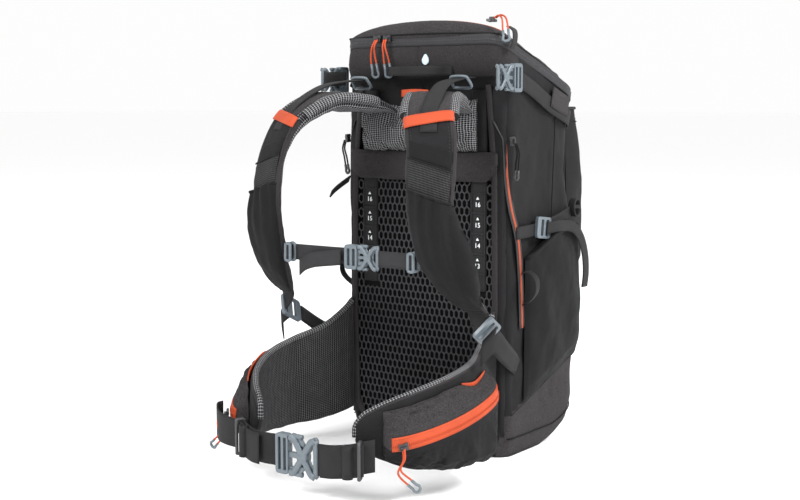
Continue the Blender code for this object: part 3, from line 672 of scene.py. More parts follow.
# ---- repeated small things ----------------------------------------------------------------------
def row_tree():
    """Lays small rounded bars along lines: stitches and zip teeth."""
    name = "rows"
    if name in bpy.data.node_groups:
        return bpy.data.node_groups[name]
    tree = bpy.data.node_groups.new(name, "GeometryNodeTree")
    face = tree.interface
    face.new_socket("Lines", in_out="INPUT", socket_type="NodeSocketGeometry")
    for label in ("Pitch", "Length", "Width", "Height"):
        face.new_socket(label, in_out="INPUT", socket_type="NodeSocketFloat")
    face.new_socket("Material", in_out="INPUT", socket_type="NodeSocketMaterial")
    face.new_socket("Rows", in_out="OUTPUT", socket_type="NodeSocketGeometry")
    nodes, link = tree.nodes, tree.links.new
    start, end = nodes.new("NodeGroupInput"), nodes.new("NodeGroupOutput")
    curve = nodes.new("GeometryNodeMeshToCurve")
    points = nodes.new("GeometryNodeCurveToPoints")
    points.mode = "LENGTH"
    across = nodes.new("GeometryNodeInputNamedAttribute")
    across.data_type = "FLOAT_VECTOR"
    across.inputs["Name"].default_value = "across"
    turn = nodes.new("FunctionNodeAlignRotationToVector")
    turn.axis = "X"
    roll = nodes.new("FunctionNodeAlignRotationToVector")
    roll.axis = "Y"
    roll.pivot_axis = "X"
    ball = nodes.new("GeometryNodeMeshUVSphere")
    ball.inputs["Segments"].default_value = 6
    ball.inputs["Rings"].default_value = 4
    ball.inputs["Radius"].default_value = 0.5
    size = nodes.new("ShaderNodeCombineXYZ")
    shape = nodes.new("GeometryNodeTransform")
    lay = nodes.new("GeometryNodeInstanceOnPoints")
    solid = nodes.new("GeometryNodeRealizeInstances")
    paint = nodes.new("GeometryNodeSetMaterial")
    link(start.outputs["Lines"], curve.inputs[0])
    link(curve.outputs[0], points.inputs[0])
    link(start.outputs["Pitch"], points.inputs["Length"])
    link(points.outputs["Tangent"], turn.inputs["Vector"])
    link(turn.outputs[0], roll.inputs["Rotation"])
    link(across.outputs["Attribute"], roll.inputs["Vector"])
    for socket, label in zip(size.inputs, ("Length", "Width", "Height")):
        link(start.outputs[label], socket)
    link(ball.outputs["Mesh"], shape.inputs["Geometry"])
    link(size.outputs[0], shape.inputs["Scale"])
    link(points.outputs["Points"], lay.inputs["Points"])
    link(shape.outputs[0], lay.inputs["Instance"])
    link(roll.outputs[0], lay.inputs["Rotation"])
    link(lay.outputs[0], solid.inputs[0])
    link(solid.outputs[0], paint.inputs[0])
    link(start.outputs["Material"], paint.inputs["Material"])
    link(paint.outputs[0], end.inputs[0])
    return tree


def cell_tree():
    """Puts a six-sided ring of knitted strand on every point."""
    name = "cells"
    tree = bpy.data.node_groups.new(name, "GeometryNodeTree")
    face = tree.interface
    face.new_socket("Points", in_out="INPUT", socket_type="NodeSocketGeometry")
    for label in ("Reach", "Strand"):
        face.new_socket(label, in_out="INPUT", socket_type="NodeSocketFloat")
    face.new_socket("Material", in_out="INPUT", socket_type="NodeSocketMaterial")
    face.new_socket("Cells", in_out="OUTPUT", socket_type="NodeSocketGeometry")
    nodes, link = tree.nodes, tree.links.new
    start, end = nodes.new("NodeGroupInput"), nodes.new("NodeGroupOutput")
    ring = nodes.new("GeometryNodeCurvePrimitiveCircle")
    ring.inputs["Resolution"].default_value = 6
    stand = nodes.new("GeometryNodeTransform")
    stand.inputs["Rotation"].default_value = (math.pi / 2, math.pi / 2, 0)
    tall = nodes.new("GeometryNodeTransform")
    tall.inputs["Scale"].default_value = (1, 1, CELL_STRETCH)
    thread = nodes.new("GeometryNodeCurvePrimitiveCircle")
    thread.inputs["Resolution"].default_value = 5
    knit = nodes.new("GeometryNodeCurveToMesh")
    lay = nodes.new("GeometryNodeInstanceOnPoints")
    solid = nodes.new("GeometryNodeRealizeInstances")
    even = nodes.new("GeometryNodeSetShadeSmooth")
    paint = nodes.new("GeometryNodeSetMaterial")
    link(start.outputs["Reach"], ring.inputs["Radius"])
    link(ring.outputs[0], stand.inputs["Geometry"])
    link(stand.outputs[0], tall.inputs["Geometry"])
    link(tall.outputs[0], knit.inputs["Curve"])
    link(start.outputs["Strand"], thread.inputs["Radius"])
    link(thread.outputs[0], knit.inputs["Profile Curve"])
    link(start.outputs["Points"], lay.inputs["Points"])
    link(knit.outputs[0], lay.inputs["Instance"])
    link(lay.outputs[0], solid.inputs[0])
    link(solid.outputs[0], even.inputs[0])
    link(even.outputs[0], paint.inputs[0])
    link(start.outputs["Material"], paint.inputs["Material"])
    link(paint.outputs[0], end.inputs[0])
    return tree


def through_tree(obj, tree, values):
    """Runs a geometry tree on an object and leaves a plain mesh."""
    modifier = obj.modifiers.new("tree", "NODES")
    modifier.node_group = tree
    for item in tree.interface.items_tree:
        if item.item_type == "SOCKET" and item.in_out == "INPUT" and item.name in values:
            modifier[item.identifier] = values[item.name]
    obj.update_tag()
    bpy.context.view_layer.update()
    graph = bpy.context.evaluated_depsgraph_get()
    mesh = bpy.data.meshes.new_from_object(obj.evaluated_get(graph))
    obj.modifiers.remove(modifier)
    obj.data = mesh
    mesh.name = obj.name
    return obj


def rows(name, lines, pitch, size, material, across=(0, 0, 1)):
    """Small bars of size (long, wide, high) along each line of points."""
    verts, edges = [], []
    for line in lines:
        first = len(verts)
        verts += [tuple(p) for p in line]
        edges += [(first + k, first + k + 1) for k in range(len(line) - 1)]
    mesh = bpy.data.meshes.new(name)
    mesh.from_pydata(verts, edges, [])
    attribute = mesh.attributes.new("across", "FLOAT_VECTOR", "POINT")
    attribute.data.foreach_set("vector", list(across) * len(verts))
    obj = bpy.data.objects.new(name, mesh)
    bpy.context.scene.collection.objects.link(obj)
    values = {"Pitch": pitch, "Length": size[0], "Width": size[1], "Height": size[2], "Material": mat(material)}
    through_tree(obj, row_tree(), values)
    return obj


def stitches(name, lines, body, material="thread", pitch=None):
    pitch = pitch or sizes().stitch
    return rides(rows(name, lines, pitch, (pitch * 0.66, 0.0009, 0.0008), material), body)


def ribbon(name, centres, halves, thick, material, steps=6, columns=4, camber=0.0):
    """A flat strap of even thickness. halves hold the vector from its middle to its edge."""
    line = Band(centres, halves, 1, steps)
    count = max(4, len(line.centres) - 1)

    def face(sign):
        return lambda u, v: line.at(u, 2 * v - 1, sign * thick / 2 + camber * (1 - (2 * v - 1) ** 2))

    return slab(name, face(1), face(-1), count, columns, [material])


def patch(name, surface, materials, u_span, v_span, low, high, cells=(12, 8), pick=None, edge=0.35):
    """A sewn-on patch over surface(u, v, over). Its rim is thinner than its middle."""
    def at_height(lift):
        def place(u, v):
            rim = min(1.0, min(u, 1 - u, v, 1 - v) * 8)
            over = low + (lift - low) * (edge + (1 - edge) * ease(0, 1, rim))
            return spanned(u, v, over)
        return place

    def spanned(u, v, over):
        return surface(u_span[0] + (u_span[1] - u_span[0]) * u, v_span[0] + (v_span[1] - v_span[0]) * v, over)

    def flat(u, v):
        return spanned(u, v, low)

    return slab(name, at_height(high), flat, cells[0], cells[1], materials, pick)


# ---- the bag ------------------------------------------------------------------------------------
FRONT_WALL = ((0.000, 0.136), (0.004, 0.156), (0.010, 0.170), (0.024, 0.186), (0.052, 0.203), (0.100, 0.212),
              (0.160, 0.2115), (0.240, 0.202), (0.320, 0.192), (0.400, 0.187), (0.600, 0.186))
BACK_WALL = ((0.000, 0.0130), (0.010, 0.0062), (0.470, 0.0058), (0.484, -0.0030), (0.494, -0.0085),
             (0.506, -0.0105), (0.518, -0.0095), (0.530, -0.0060), (0.600, -0.0056))
SPAN = ((0.00, 0.0), (0.12, 1.0), (0.18, 2.0), (0.38, 3.0), (0.44, 4.0), (0.50, 5.0))
BACK_CORNER, FRONT_CORNER = 0.020, 0.040


def outline(share, z, inset=0.0):
    """A point of the bag's section at a height. share runs from the middle of the back to its left."""
    turn = -1 if share > 0.5 else 1
    share = 1 - share if share > 0.5 else share
    half = HALF - 0.0006 - inset - 0.008 * (1 - ease(0.0, 0.03, z)) - 0.006 * ease(0.486, 0.53, z)
    back = along_table(BACK_WALL, z) + inset
    front = along_table(FRONT_WALL, z) - inset
    rear, fore = BACK_CORNER - inset * 0.8, FRONT_CORNER - inset * 0.8
    step = along_table(SPAN, share)
    if step <= 1:
        x, y = step * (half - rear), back
    elif step <= 2:
        angle = (step - 1) * math.pi / 2
        x, y = half - rear + rear * math.sin(angle), back + rear - rear * math.cos(angle)
    elif step <= 3:
        x, y = half, back + rear + (step - 2) * (front - fore - back - rear)
    elif step <= 4:
        angle = (step - 3) * math.pi / 2
        x, y = half - fore + fore * math.cos(angle), front - fore + fore * math.sin(angle)
    else:
        x, y = (5 - step) * (half - fore), front
    return turn * x, y


def bag_skin(inset):
    """The bag's wall from its base to its sloping rim."""
    def place(u, v):
        z = u * 0.46
        for _ in range(3):
            x, y = outline(v, z, inset)
            z = u * (rim_height(y) - 0.004)
        return at(x, y, max(z, inset))
    return place


def skin(sign, y, z, over=0.0):
    """A point on the bag's side wall at a depth and height."""
    back, front = along_table(BACK_WALL, z), along_table(FRONT_WALL, z)
    x = HALF
    if y < back + BACK_CORNER:
        x -= BACK_CORNER - math.sqrt(max(0.0, BACK_CORNER**2 - (back + BACK_CORNER - y) ** 2))
    if y > front - FRONT_CORNER:
        x -= FRONT_CORNER - math.sqrt(max(0.0, FRONT_CORNER**2 - (y - front + FRONT_CORNER) ** 2))
    return at(sign * (x + over), y, z)


def base_seam(y):
    return 0.069 + 0.36 * (y - 0.053)


def make_bag():
    names = ["panel", "base", "collar", "shadow", "lining", "heather"]

    def pick(u, v, part):
        if part == "bottom":
            return 4
        spot = bag_skin(0.0)(u, v)
        y, z = spot.y - BACK, spot.z
        behind = v < 0.135 or v > 0.865
        if z > 0.484 and y < 0.03:
            return 2
        if behind:
            return 0 if z > 0.43 else 3
        if z < base_seam(y):
            return 1
        return 0

    shell = slab("bag_shell", bag_skin(0.0), bag_skin(0.004), 84, 132, names, pick)

    def slack(p):
        free = ease(0.03, 0.09, p.z) * (1 - ease(0.90, 1.0, p.z / rim_height(p.y - BACK)))
        return free * ((0.45 if p.z > 0.484 else 0.25) if p.y - BACK < 0.02 else 1.0)

    crumple(shell, sizes().wrinkle, 15.0, (1, 1, 0.5), slack, 3.1, 0.55, True)
    crumple(shell, sizes().wrinkle * 0.45, 42.0, (1, 1, 0.6), slack, 7.7, 0.4, True)
    rides(shell, "pack", "bag_fabric", "side_panel_left", "side_panel_right", "front_panel", "back_panel",
          "collar_panel", "base_panel")

    def under(lift):
        def place(u, v):
            a, b = 2 * u - 1, 2 * v - 1
            x = 0.1185 * a * (1 - 0.25 * (1 - math.sqrt(1 - b * b / 2)))
            y = 0.0745 + 0.0600 * b * (1 - 0.25 * (1 - math.sqrt(1 - a * a / 2)))
            return at(x, y, lift)
        return place

    base = slab("bag_base", under(0.0045), under(0.0002), 16, 12, ["base"])
    rides(base, "pack", "base_fabric")

    lines = []
    for sign in (1, -1):
        lines.append([skin(sign, 0.020 + 0.0040 * k, base_seam(0.020 + 0.0040 * k), 0.0002) for k in range(44)])
    pipes = [tube(f"pipe_{k}", line, sizes().piping, "binding", 6) for k, line in enumerate(lines)]
    low = [[skin(sign, 0.014 + 0.004 * k, 0.026 + 0.02 * ease(0.1, 0.19, 0.004 * k), 0.0) for k in range(44)]
           for sign in (1, -1)]
    pipes += [tube(f"low_{k}", line, sizes().piping, "thread_dark", 6) for k, line in enumerate(low)]
    seam = [[skin(sign, along_table(((0.10, 0.118), (0.30, 0.112), (0.44, 0.120)), z), z, 0.0001)
             for z in [0.11 + 0.005 * k for k in range(66)]] for sign in (1, -1)]
    pipes += [tube(f"mid_{k}", line, 0.0008, "thread_dark", 6) for k, line in enumerate(seam)]
    front = [[at(sign * 0.1065, along_table(FRONT_WALL, z) - 0.0055, z)
              for z in [0.06 + 0.006 * k for k in range(66)]]
             for sign in (1, -1)]
    pipes += [tube(f"fore_{k}", line, sizes().piping, "binding", 6) for k, line in enumerate(front)]
    rides(join("bag_piping", pipes), "pack", "bag_fabric")
    above = [[p + Vector((0, 0, 0.004)) + Vector((0.0004 if p.x > 0 else -0.0004, 0, 0)) for p in line]
             for line in lines]
    stitches("bag_stitches", above, "pack")

    drops = [[at(x, -0.0068, z) for z in (0.489 + 0.004 * k for k in range(11))] for x in (-0.020, 0.032)]
    stitches("collar_stitches", drops, "pack", "thread")
    ridge = [tube(f"collar_{k}", line, 0.0009, "collar", 6) for k, line in enumerate(
        [[at(x + 0.0022, -0.0062, z) for z in (0.487 + 0.004 * k for k in range(12))]
         for x in (-0.020, 0.032)])]
    rides(join("collar_seams", ridge), "pack", "bag_fabric")
    hem = tube("collar_hem", [at(-0.112 + 0.004 * k, -0.0066, 0.4865) for k in range(57)], 0.0016,
               "thread_dark", 8)
    rides(hem, "pack", "bag_fabric")


def drop_mark():
    """A plain water drop printed on the collar."""
    def face(lift):
        def place(u, v):
            wide = 0.0043 * math.sin(math.pi * u) ** 0.6 * (1 - 0.55 * u) * 1.5
            return at(0.013 + wide * (2 * v - 1), lift, 0.5015 + 0.0135 * u)
        return place
    rides(slab("drop_mark", face(-0.0122), face(-0.0090), 14, 8, ["drop"]), "pack", "bag_fabric")


# ---- the zips -----------------------------------------------------------------------------------
def zip_along(name, body, path, halves, material, tooth, thick=0.0012, slot="bag_fabric", lift=0.0):
    """A zip: a tape along a path, with a row of teeth down its middle."""
    tape = ribbon(name + "_tape", path, halves, thick, material, 4, 4)
    rides(tape, body, slot)
    line = Band(path, halves, 1, 4)
    count = max(8, int(line.length / 0.006))
    spots = [line.at(k / count, 0.0, thick / 2 + lift) for k in range(count + 1)]
    across = (line.at(0.5, 1.0) - line.at(0.5, -1.0)).normalized()
    teeth = rows(name + "_teeth", [spots], sizes().tooth, (sizes().tooth * 0.62, 0.0042, 0.0013), tooth, across)
    rides(teeth, body, slot)


def shifted(path):
    """A path whose depths are counted from zero, for Band, which adds the back plane."""
    return [Vector((p.x, p.y - BACK, p.z)) for p in path]


def pull(name, body, start, drop_to, grip, material="orange", tip_material="plastic", spread=0.0034):
    """A zip's pull: two limp cords from its slider to a moulded loop of the given depth."""
    middle = smooth([start, *drop_to], 8)
    total = sum((b - a).length for a, b in zip(middle, middle[1:]))
    way = (middle[-1] - middle[-4]).normalized()
    side = way.cross(Vector((0.35, -0.90, 0.1))).normalized()
    cords, ends = [], []
    for turn in (-1, 1):
        path, run = [], 0.0
        for k, point in enumerate(middle):
            run += (point - middle[k - 1]).length if k else 0.0
            path.append(point + side * turn * (0.0013 + (spread - 0.0013) * ease(0.1, 1.0, run / total)))
        cord = tube(f"{name}_cord_{'b' if turn > 0 else 'a'}", path, sizes().cord, material, 8)
        cords.append((cord, path))
        ends.append(path[-1])
    loop = []
    for k in range(17):
        angle = math.pi * k / 16
        across = -math.cos(angle) * spread * 1.25
        loop.append((ends[0] + ends[1]) / 2 + side * across + way * (grip - 0.004 + 0.004 * math.sin(angle)))
    loop = [ends[0] - way * 0.002, ends[0] + way * grip * 0.4, *loop, ends[1] + way * grip * 0.4,
            ends[1] - way * 0.002]
    handle = rides(tube(f"{name}_grip", loop, 0.0017, tip_material, 8), body, "grey_plastic")
    for cord, path in cords:
        rides(cord, body, "webbing")
        long = sum((b - a).length for a, b in zip(path, path[1:]))
        tuple(path[0])
        [tuple(p) for p in path]


def make_zips():
    lift = 0.0012
    rim = []
    for k in range(121):
        share = -0.425 + 0.85 * k / 120
        z = 0.50
        for _ in range(4):
            x, y = outline(share % 1.0, z, -lift)
            z = rim_height(y) - 0.0005
        rim.append(Vector((x, y, z - 0.0030)))
    zip_along("main_zip", "pack", rim[::2], [Vector((0, 0, 0.0066))] * 61, "zip_black", "tooth")
    for side, sign in SIDES:
        line = [(0.004, 0.432), (0.0080, 0.415), (0.0095, 0.406), (0.0110, 0.360), (0.0155, 0.322),
                (0.0235, 0.295), (0.031, 0.268), (0.037, 0.215), (0.040, 0.168)]
        path = [skin(sign, y, z, 0.0007) for y, z in line]
        half = [Vector((0.0, 0.0062, 0.0015))] * len(path)
        rides(ribbon(f"side_tape_{side}", shifted(path), half, 0.0008, "zip_black", 4, 4), "pack", "bag_fabric")
        narrow = [Vector((0.0, 0.0020, 0.0005))] * len(path)
        path = [skin(sign, y, z, 0.0013) for y, z in line]
        zip_along(f"side_zip_{side}", "pack", shifted(path), narrow, "rust", "tooth_rust", 0.0006)
        x = sign * 0.1352
        pull(f"side_pull_{side}", f"side_slider_{side}", at(x, 0.010, 0.4035),
             [at(x + sign * 0.0035, 0.0105, 0.392), at(x + sign * 0.0015, 0.012, 0.380), at(x, 0.013, 0.368)],
             0.010, "thread_dark", "plastic_dark", 0.0018)
    low = -0.0158
    pull("main_pull_left", "main_slider_left", at(-0.048, low, 0.5345),
         [at(-0.0465, -0.0205, 0.526), at(-0.0445, -0.0195, 0.514), at(-0.0430, -0.0180, 0.502)], 0.016)
    pull("main_pull_right", "main_slider_right", at(-0.062, low, 0.5345),
         [at(-0.0635, -0.0205, 0.526), at(-0.0650, -0.0195, 0.514), at(-0.0640, -0.0180, 0.502)], 0.016)
    pull("lid_pull", "lid_slider", at(0.0995, 0.0165, 0.5585),
         [at(0.110, 0.010, 0.5610), at(0.1215, 0.002, 0.5560), at(0.1290, -0.006, 0.5400)], 0.014)


# ---- the lid ------------------------------------------------------------------------------------
def lid_top(u, v, over=0.0):
    """u runs from the wearer's side to the front and v from right to left."""
    a, b = 2 * v - 1, 2 * u - 1
    round_off = 0.26
    x = 0.1262 * a * (1 - round_off * (1 - math.sqrt(1 - b * b / 2)))
    y = 0.0887 + 0.0985 * b * (1 - round_off * (1 - math.sqrt(1 - a * a / 2)))
    edge = math.sqrt(max(0.0, (1 - abs(a) ** 9) * (1 - abs(b) ** 9)))
    crown = 0.0150 * (1 - abs(a) ** 2.4) * (1 - 0.60 * max(0.0, b) ** 2) * (1 - max(0.0, -b) ** 14)
    rise = 0.0040 + 0.0115 * edge + crown
    return at(x, y, rim_height(y) + rise + over)


def make_lid():
    def low(u, v):
        top = lid_top(u, v)
        return Vector((top.x, top.y, rim_height(top.y - BACK) + 0.0008))

    def pick(u, v, part):
        if part == "bottom":
            return 1
        return 0

    dome = slab("lid_dome", lid_top, low, 48, 60, ["heather", "lining"], pick)

    def loose(p):
        beside_zip = ease(0.006, 0.030, abs(p.y - BACK - 0.0150))
        return beside_zip * ease(0.004, 0.012, p.z - rim_height(p.y - BACK))

    crumple(dome, 0.0034, 22.0, (1, 1, 1), loose, 11.3, 0.25)
    crumple(dome, 0.0012, 52.0, (1, 1, 1), loose, 2.9, 0.2)
    rides(dome, "lid", "lid_fabric", "lid_shell")
    edge = []
    for k in range(97):
        angle = 2 * math.pi * k / 96
        a, b = math.cos(angle), math.sin(angle)
        reach = 1 / max(abs(a), abs(b))
        edge.append(lid_top(0.5 + 0.5 * b * reach, 0.5 + 0.5 * a * reach, 0.0004))
    rides(tube("lid_piping", edge, 0.0013, "thread_dark", 8), "lid", "lid_fabric")
    line = [lid_top(0.125, v, 0.0003) for v in [0.07 + 0.04 * k for k in range(23)]]
    zip_along("lid_zip", "lid", shifted(line), [Vector((0, 0.0042, -0.001))] * len(line), "rust",
              "tooth_rust", 0.001, "lid_fabric")
    seams = [[lid_top(0.19, v, 0.0008) for v in [0.06 + 0.03 * k for k in range(30)]]]
    seams += [[lid_top(u, v, 0.0008) for u in [0.2 + 0.03 * k for k in range(26)]] for v in (0.22, 0.78)]
    stitches("lid_stitches", seams, "lid")
    tape = ribbon("lid_tab", shifted([at(0.122, 0.012, 0.547), at(0.132, 0.010, 0.541),
                                      at(0.1335, 0.008, 0.528), at(0.130, 0.007, 0.520)]),
                  [Vector((0, 0.005, 0))] * 4, 0.0014, "web_light")
    rides(tape, "lid", "webbing")


# ---- the back -----------------------------------------------------------------------------------
CELL_STRETCH = 1.45


def net_half(z):
    return along_table(((0.020, 0.090), (0.050, 0.108), (0.20, 0.112), (0.36, 0.110), (0.48, 0.100)), z)


def make_back():
    """The open mesh that stands off the back, its border and its size strips."""
    pitch = sizes().cell
    reach = pitch / math.sqrt(3)
    tall = reach * 1.5 * CELL_STRETCH
    verts = []
    row_count = int(0.455 / tall)
    for row in range(row_count):
        z = 0.030 + row * tall
        if z > 0.400:
            break
        shift = 0.5 * pitch if row % 2 else 0.0
        for column in range(-16, 17):
            x = column * pitch + shift
            if abs(x) > net_half(z) - reach:
                continue
            if 0.070 < abs(x) < 0.102 and z > 0.208:
                continue
            bow = 0.0012 * (1 - (x / 0.115) ** 2)
            verts.append(at(x, 0.0034 - bow, z))
    mesh = bpy.data.meshes.new("back_net")
    mesh.from_pydata([tuple(p) for p in verts], [], [])
    net = bpy.data.objects.new("back_net", mesh)
    bpy.context.scene.collection.objects.link(net)
    through_tree(net, cell_tree(), {"Reach": reach, "Strand": sizes().cell_strand, "Material": mat("strand")})
    rides(net, "pack", "spacer_mesh", "back_mesh")
    rims = []
    for sign in (1, -1):
        line = [at(sign * net_half(z), 0.0012, z) for z in [0.026 + 0.006 * k for k in range(76)]]
        rims.append(tube(f"rim_{sign}", line, 0.0042, "binding", 10, 0.55, Vector((0, 1, 0))))
    line = [at(-net_half(0.026) + 0.006 * k, 0.0014, 0.0255)
            for k in range(int(2 * net_half(0.026) / 0.006) + 1)]
    rims.append(tube("rim_low", line, 0.0040, "thread_dark", 10, 0.55, Vector((0, 1, 0))))
    rides(join("back_rims", rims), "pack", "pad_fabric")
    for side, sign in SIDES:
        make_side_pad(side, sign)
        make_scale(side)


def make_side_pad(side, sign):
    """The padded strip between the net and the bag's rear corner."""
    def face(lift):
        def place(u, v):
            z = 0.030 + 0.445 * u
            inner = net_half(z)
            x = inner + (0.1225 - inner) * v
            crown = math.sqrt(max(0.0, 1 - (2 * v - 1) ** 4)) * math.sqrt(max(0.0, 1 - (2 * u - 1) ** 20))
            return at(sign * x, 0.0052 + 0.004 * v - lift * crown, z)
        return place
    pad = slab(f"side_pad_{side}", face(0.0050), lambda u, v: face(0.0)(u, v) + Vector((0, 0.0004, 0)), 60, 8,
               ["panel"])
    crumple(pad, 0.0008, 60.0, (1, 1, 1), None, 4.0)
    rides(pad, "pack", "pad_fabric")


def printed(name, text, size, place, normal_out, right):
    """Characters as a thin mesh on a plane through place."""
    curve = bpy.data.curves.new(name, "FONT")
    curve.body = text
    curve.size = size
    curve.align_x, curve.align_y = "CENTER", "CENTER"
    curve.extrude = 0.00012
    curve.resolution_u = 3
    letters = bpy.data.objects.new(name, curve)
    bpy.context.scene.collection.objects.link(letters)
    bpy.context.view_layer.update()
    mesh = bpy.data.meshes.new_from_object(letters.evaluated_get(bpy.context.evaluated_depsgraph_get()))
    bpy.data.objects.remove(letters)
    up = normal_out.cross(right)
    turn = Matrix((right, up, normal_out)).transposed().to_4x4()
    turn.translation = place
    mesh.transform(turn)
    mesh.materials.clear()
    mesh.materials.append(mat("ink"))
    mesh.name = name
    obj = bpy.data.objects.new(name, mesh)
    bpy.context.scene.collection.objects.link(obj)
    return obj


def make_scale(side):
    """The ladder of back lengths: webbing with boxed numerals."""
    low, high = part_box(f"scale_strip_{side}")
    centre = (low.x + high.x) / 2
    half = (high.x - low.x) / 2
    front = low.y

    def strip(u, v, over):
        return Vector((centre + half * (2 * v - 1), front + 0.0006 - over, low.z + (high.z - low.z) * u))

    card = patch(f"scale_cloth_{side}", strip, ["web"], (0, 1), (0, 1), -0.0028, 0.0004, (60, 6))
    rides(card, "pack", "webbing", f"scale_strip_{side}")
    edges = [[strip(u, v, 0.0009) for u in [0.01 + 0.02 * k for k in range(50)]] for v in (0.08, 0.92)]
    stitches(f"scale_stitches_{side}", edges, "pack", "thread", 0.0036)
    pieces, boxes = [], []
    out, right = Vector((0, -1, 0)), Vector((1, 0, 0))
    for row, number in enumerate((16, 15, 14, 13)):
        z = 0.328 - 0.026 * row
        place = Vector((centre, front - 0.0011, z))
        pieces.append(printed(f"number_{row}", str(number), 0.0086, place + Vector((0, 0, -0.0024)), out,
                              right))
        mark = make(f"mark_{row}", [place + Vector((dx, dy, 0.0058 + dz)) for dy in (0.0, 0.0004)
                                    for dx, dz in ((-0.0022, -0.0016), (0.0022, -0.0016), (0.0, 0.0020))],
                    [(0, 1, 2), (5, 4, 3), (0, 3, 4, 1), (1, 4, 5, 2), (2, 5, 3, 0)], ["ink"])
        pieces.append(outward(mark))
        corner = [Vector((dx, 0.0004, dz))
                  for dx, dz in ((-0.0104, -0.0124), (0.0104, -0.0124), (0.0104, 0.0124),
                                 (-0.0104, 0.0124), (-0.0104, -0.0124))]
        ring = [place + a.lerp(b, k / 4) for a, b in zip(corner, corner[1:]) for k in range(4)]
        boxes.append(tube(f"box_{row}", [*ring, place + corner[0]], 0.00055, "thread", 5))
    rides(join(f"scale_numbers_{side}", pieces), "pack", "webbing")
    rides(join(f"scale_boxes_{side}", boxes), "pack", "webbing")


# ---- the yoke -----------------------------------------------------------------------------------
def pillow(name, face, thick, nu, nv, materials, pick=None, power=4):
    """A crowned pad over face(u, v, over): thick in its middle and pinched at its edges."""
    def skin_at(sign, share):
        def place(u, v):
            a, b = abs(2 * u - 1), abs(2 * v - 1)
            swell = math.sqrt(max(0.0, 1 - a ** (2 * power)) * max(0.0, 1 - b**power))
            return face(u, v, sign * thick * share * (0.12 + 0.88 * swell))
        return place
    return slab(name, skin_at(1, 0.72), skin_at(-1, 0.28), nu, nv, materials, pick)


def make_yoke():
    low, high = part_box("yoke_band")

    def band(u, v, over):
        x = low.x + (high.x - low.x) * u
        corner = 0.012 * ease(0.85, 1.0, abs(2 * u - 1))
        z = low.z + corner + (high.z - low.z - corner) * v
        return Vector((x, high.y - 0.0016 - 0.0028 * (1 - (2 * u - 1) ** 2) - over, z))

    cloth = pillow("yoke_band_cloth", band, 0.0036, 60, 14, ["collar", "binding"],
                   lambda u, v, part: 1 if v < 0.06 or v > 0.94 else 0)
    crumple(cloth, 0.0010, 40.0, (1, 1, 1.6), None, 6.2)
    rides(cloth, "yoke", "pad_fabric", "yoke_band")
    lines = [[band(u, v, 0.0030) for u in [0.03 + 0.02 * k for k in range(48)]] for v in (0.14, 0.86)]
    stitches("yoke_stitches", lines, "yoke", "thread")
    low2, high2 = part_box("yoke_pad")

    def cushion(u, v, over):
        x = low2.x + (high2.x - low2.x) * u
        dip = 0.010 * (1 - abs(2 * u - 1) ** 2)
        z = low2.z + (high2.z - low2.z - dip) * v
        return Vector((x, high2.y - 0.0046 - over, z))

    pad = pillow("yoke_cushion", cushion, 0.0155, 56, 26, ["spacer"])
    inflate(pad, 0.0050, lambda p: 1.0 - ease(-0.0080, -0.0035, p.y - BACK))
    crumple(pad, 0.0014, 34.0, (1, 1, 1), None, 9.0)
    rides(pad, "yoke", "pad_fabric", "yoke_pad")
    tab = ribbon("yoke_patch", [Vector((-0.020, -0.0172, 0.4655)), Vector((0.0, -0.0176, 0.4665)),
                                Vector((0.022, -0.0172, 0.4655))], [Vector((0, 0, 0.0045))] * 3, 0.0016,
                 "orange")
    rides(tab, "yoke", "webbing")


def make_haul_loop():
    low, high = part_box("haul_loop")
    z = (low.z + high.z) / 2
    half = (high.z - low.z) / 2
    path = [Vector((x, y, z)) for x, y in ((-0.052, -0.0074), (-0.044, -0.0120), (-0.034, -0.0240),
                                           (-0.018, -0.0300), (0.0, -0.0310), (0.018, -0.0300),
                                           (0.034, -0.0240), (0.044, -0.0120), (0.052, -0.0074))]
    loop = ribbon("haul_webbing", path, [Vector((0, 0, half))] * 9, 0.0019, "web", 8)
    rides(loop, "pack", "webbing", "haul_loop")


# ---- the shoulder straps ------------------------------------------------------------------------
STRAP_LINE = ((0.0590, -0.010, 0.4420), (0.0640, -0.040, 0.4530), (0.0700, -0.062, 0.4590),
              (0.085, -0.098, 0.4600), (0.105, -0.133, 0.4380), (0.119, -0.148, 0.4020),
              (0.124, -0.158, 0.3600), (0.125, -0.158, 0.3150), (0.128, -0.145, 0.2720),
              (0.138, -0.120, 0.2330), (0.149, -0.096, 0.2080))
STRAP_HALF = (0.027, 0.030, 0.031, 0.031, 0.030, 0.030, 0.029, 0.027, 0.024, 0.019, 0.014)
STRAP_TURN = (0, 0, 6, 14, 20, 20, 18, 14, 12, 12, 12)


def strap_band(sign):
    halves = [Vector((w * math.cos(math.radians(t)), w * math.sin(math.radians(t)), 0))
              for w, t in zip(STRAP_HALF, STRAP_TURN)]
    return Band(STRAP_LINE, halves, sign, 8)


def strap_face(sign):
    """over(u, v, lift): u along the strap, v across it from its inner edge, lift above the outer fabric."""
    band = strap_band(sign)

    def face(u, v, over):
        return band.at(u, 2 * v - 1, over)
    return face


def height_share(sign, z):
    """How far along the strap its middle passes a height on the way down."""
    band = strap_band(sign)
    best = 1.0
    for k in range(201):
        t = 1 - k / 200
        if band.at(t).z >= z:
            best = t
            break
    return best


def strap_lift(u, v, outer=True):
    """Half thickness of the padding, which is deeper inside the shoulder."""
    edge = abs(2 * v - 1)
    swell = math.sqrt(max(0.0, 1 - edge**5))
    ends = math.sqrt(max(0.0, 1 - abs(2 * u - 1) ** 24))
    deep = 0.0 if outer else 0.0115 * ease(0.03, 0.14, u) * (1 - ease(0.30, 0.50, u))
    return (0.0056 + deep) * (0.28 + 0.72 * swell) * (0.35 + 0.65 * ends)


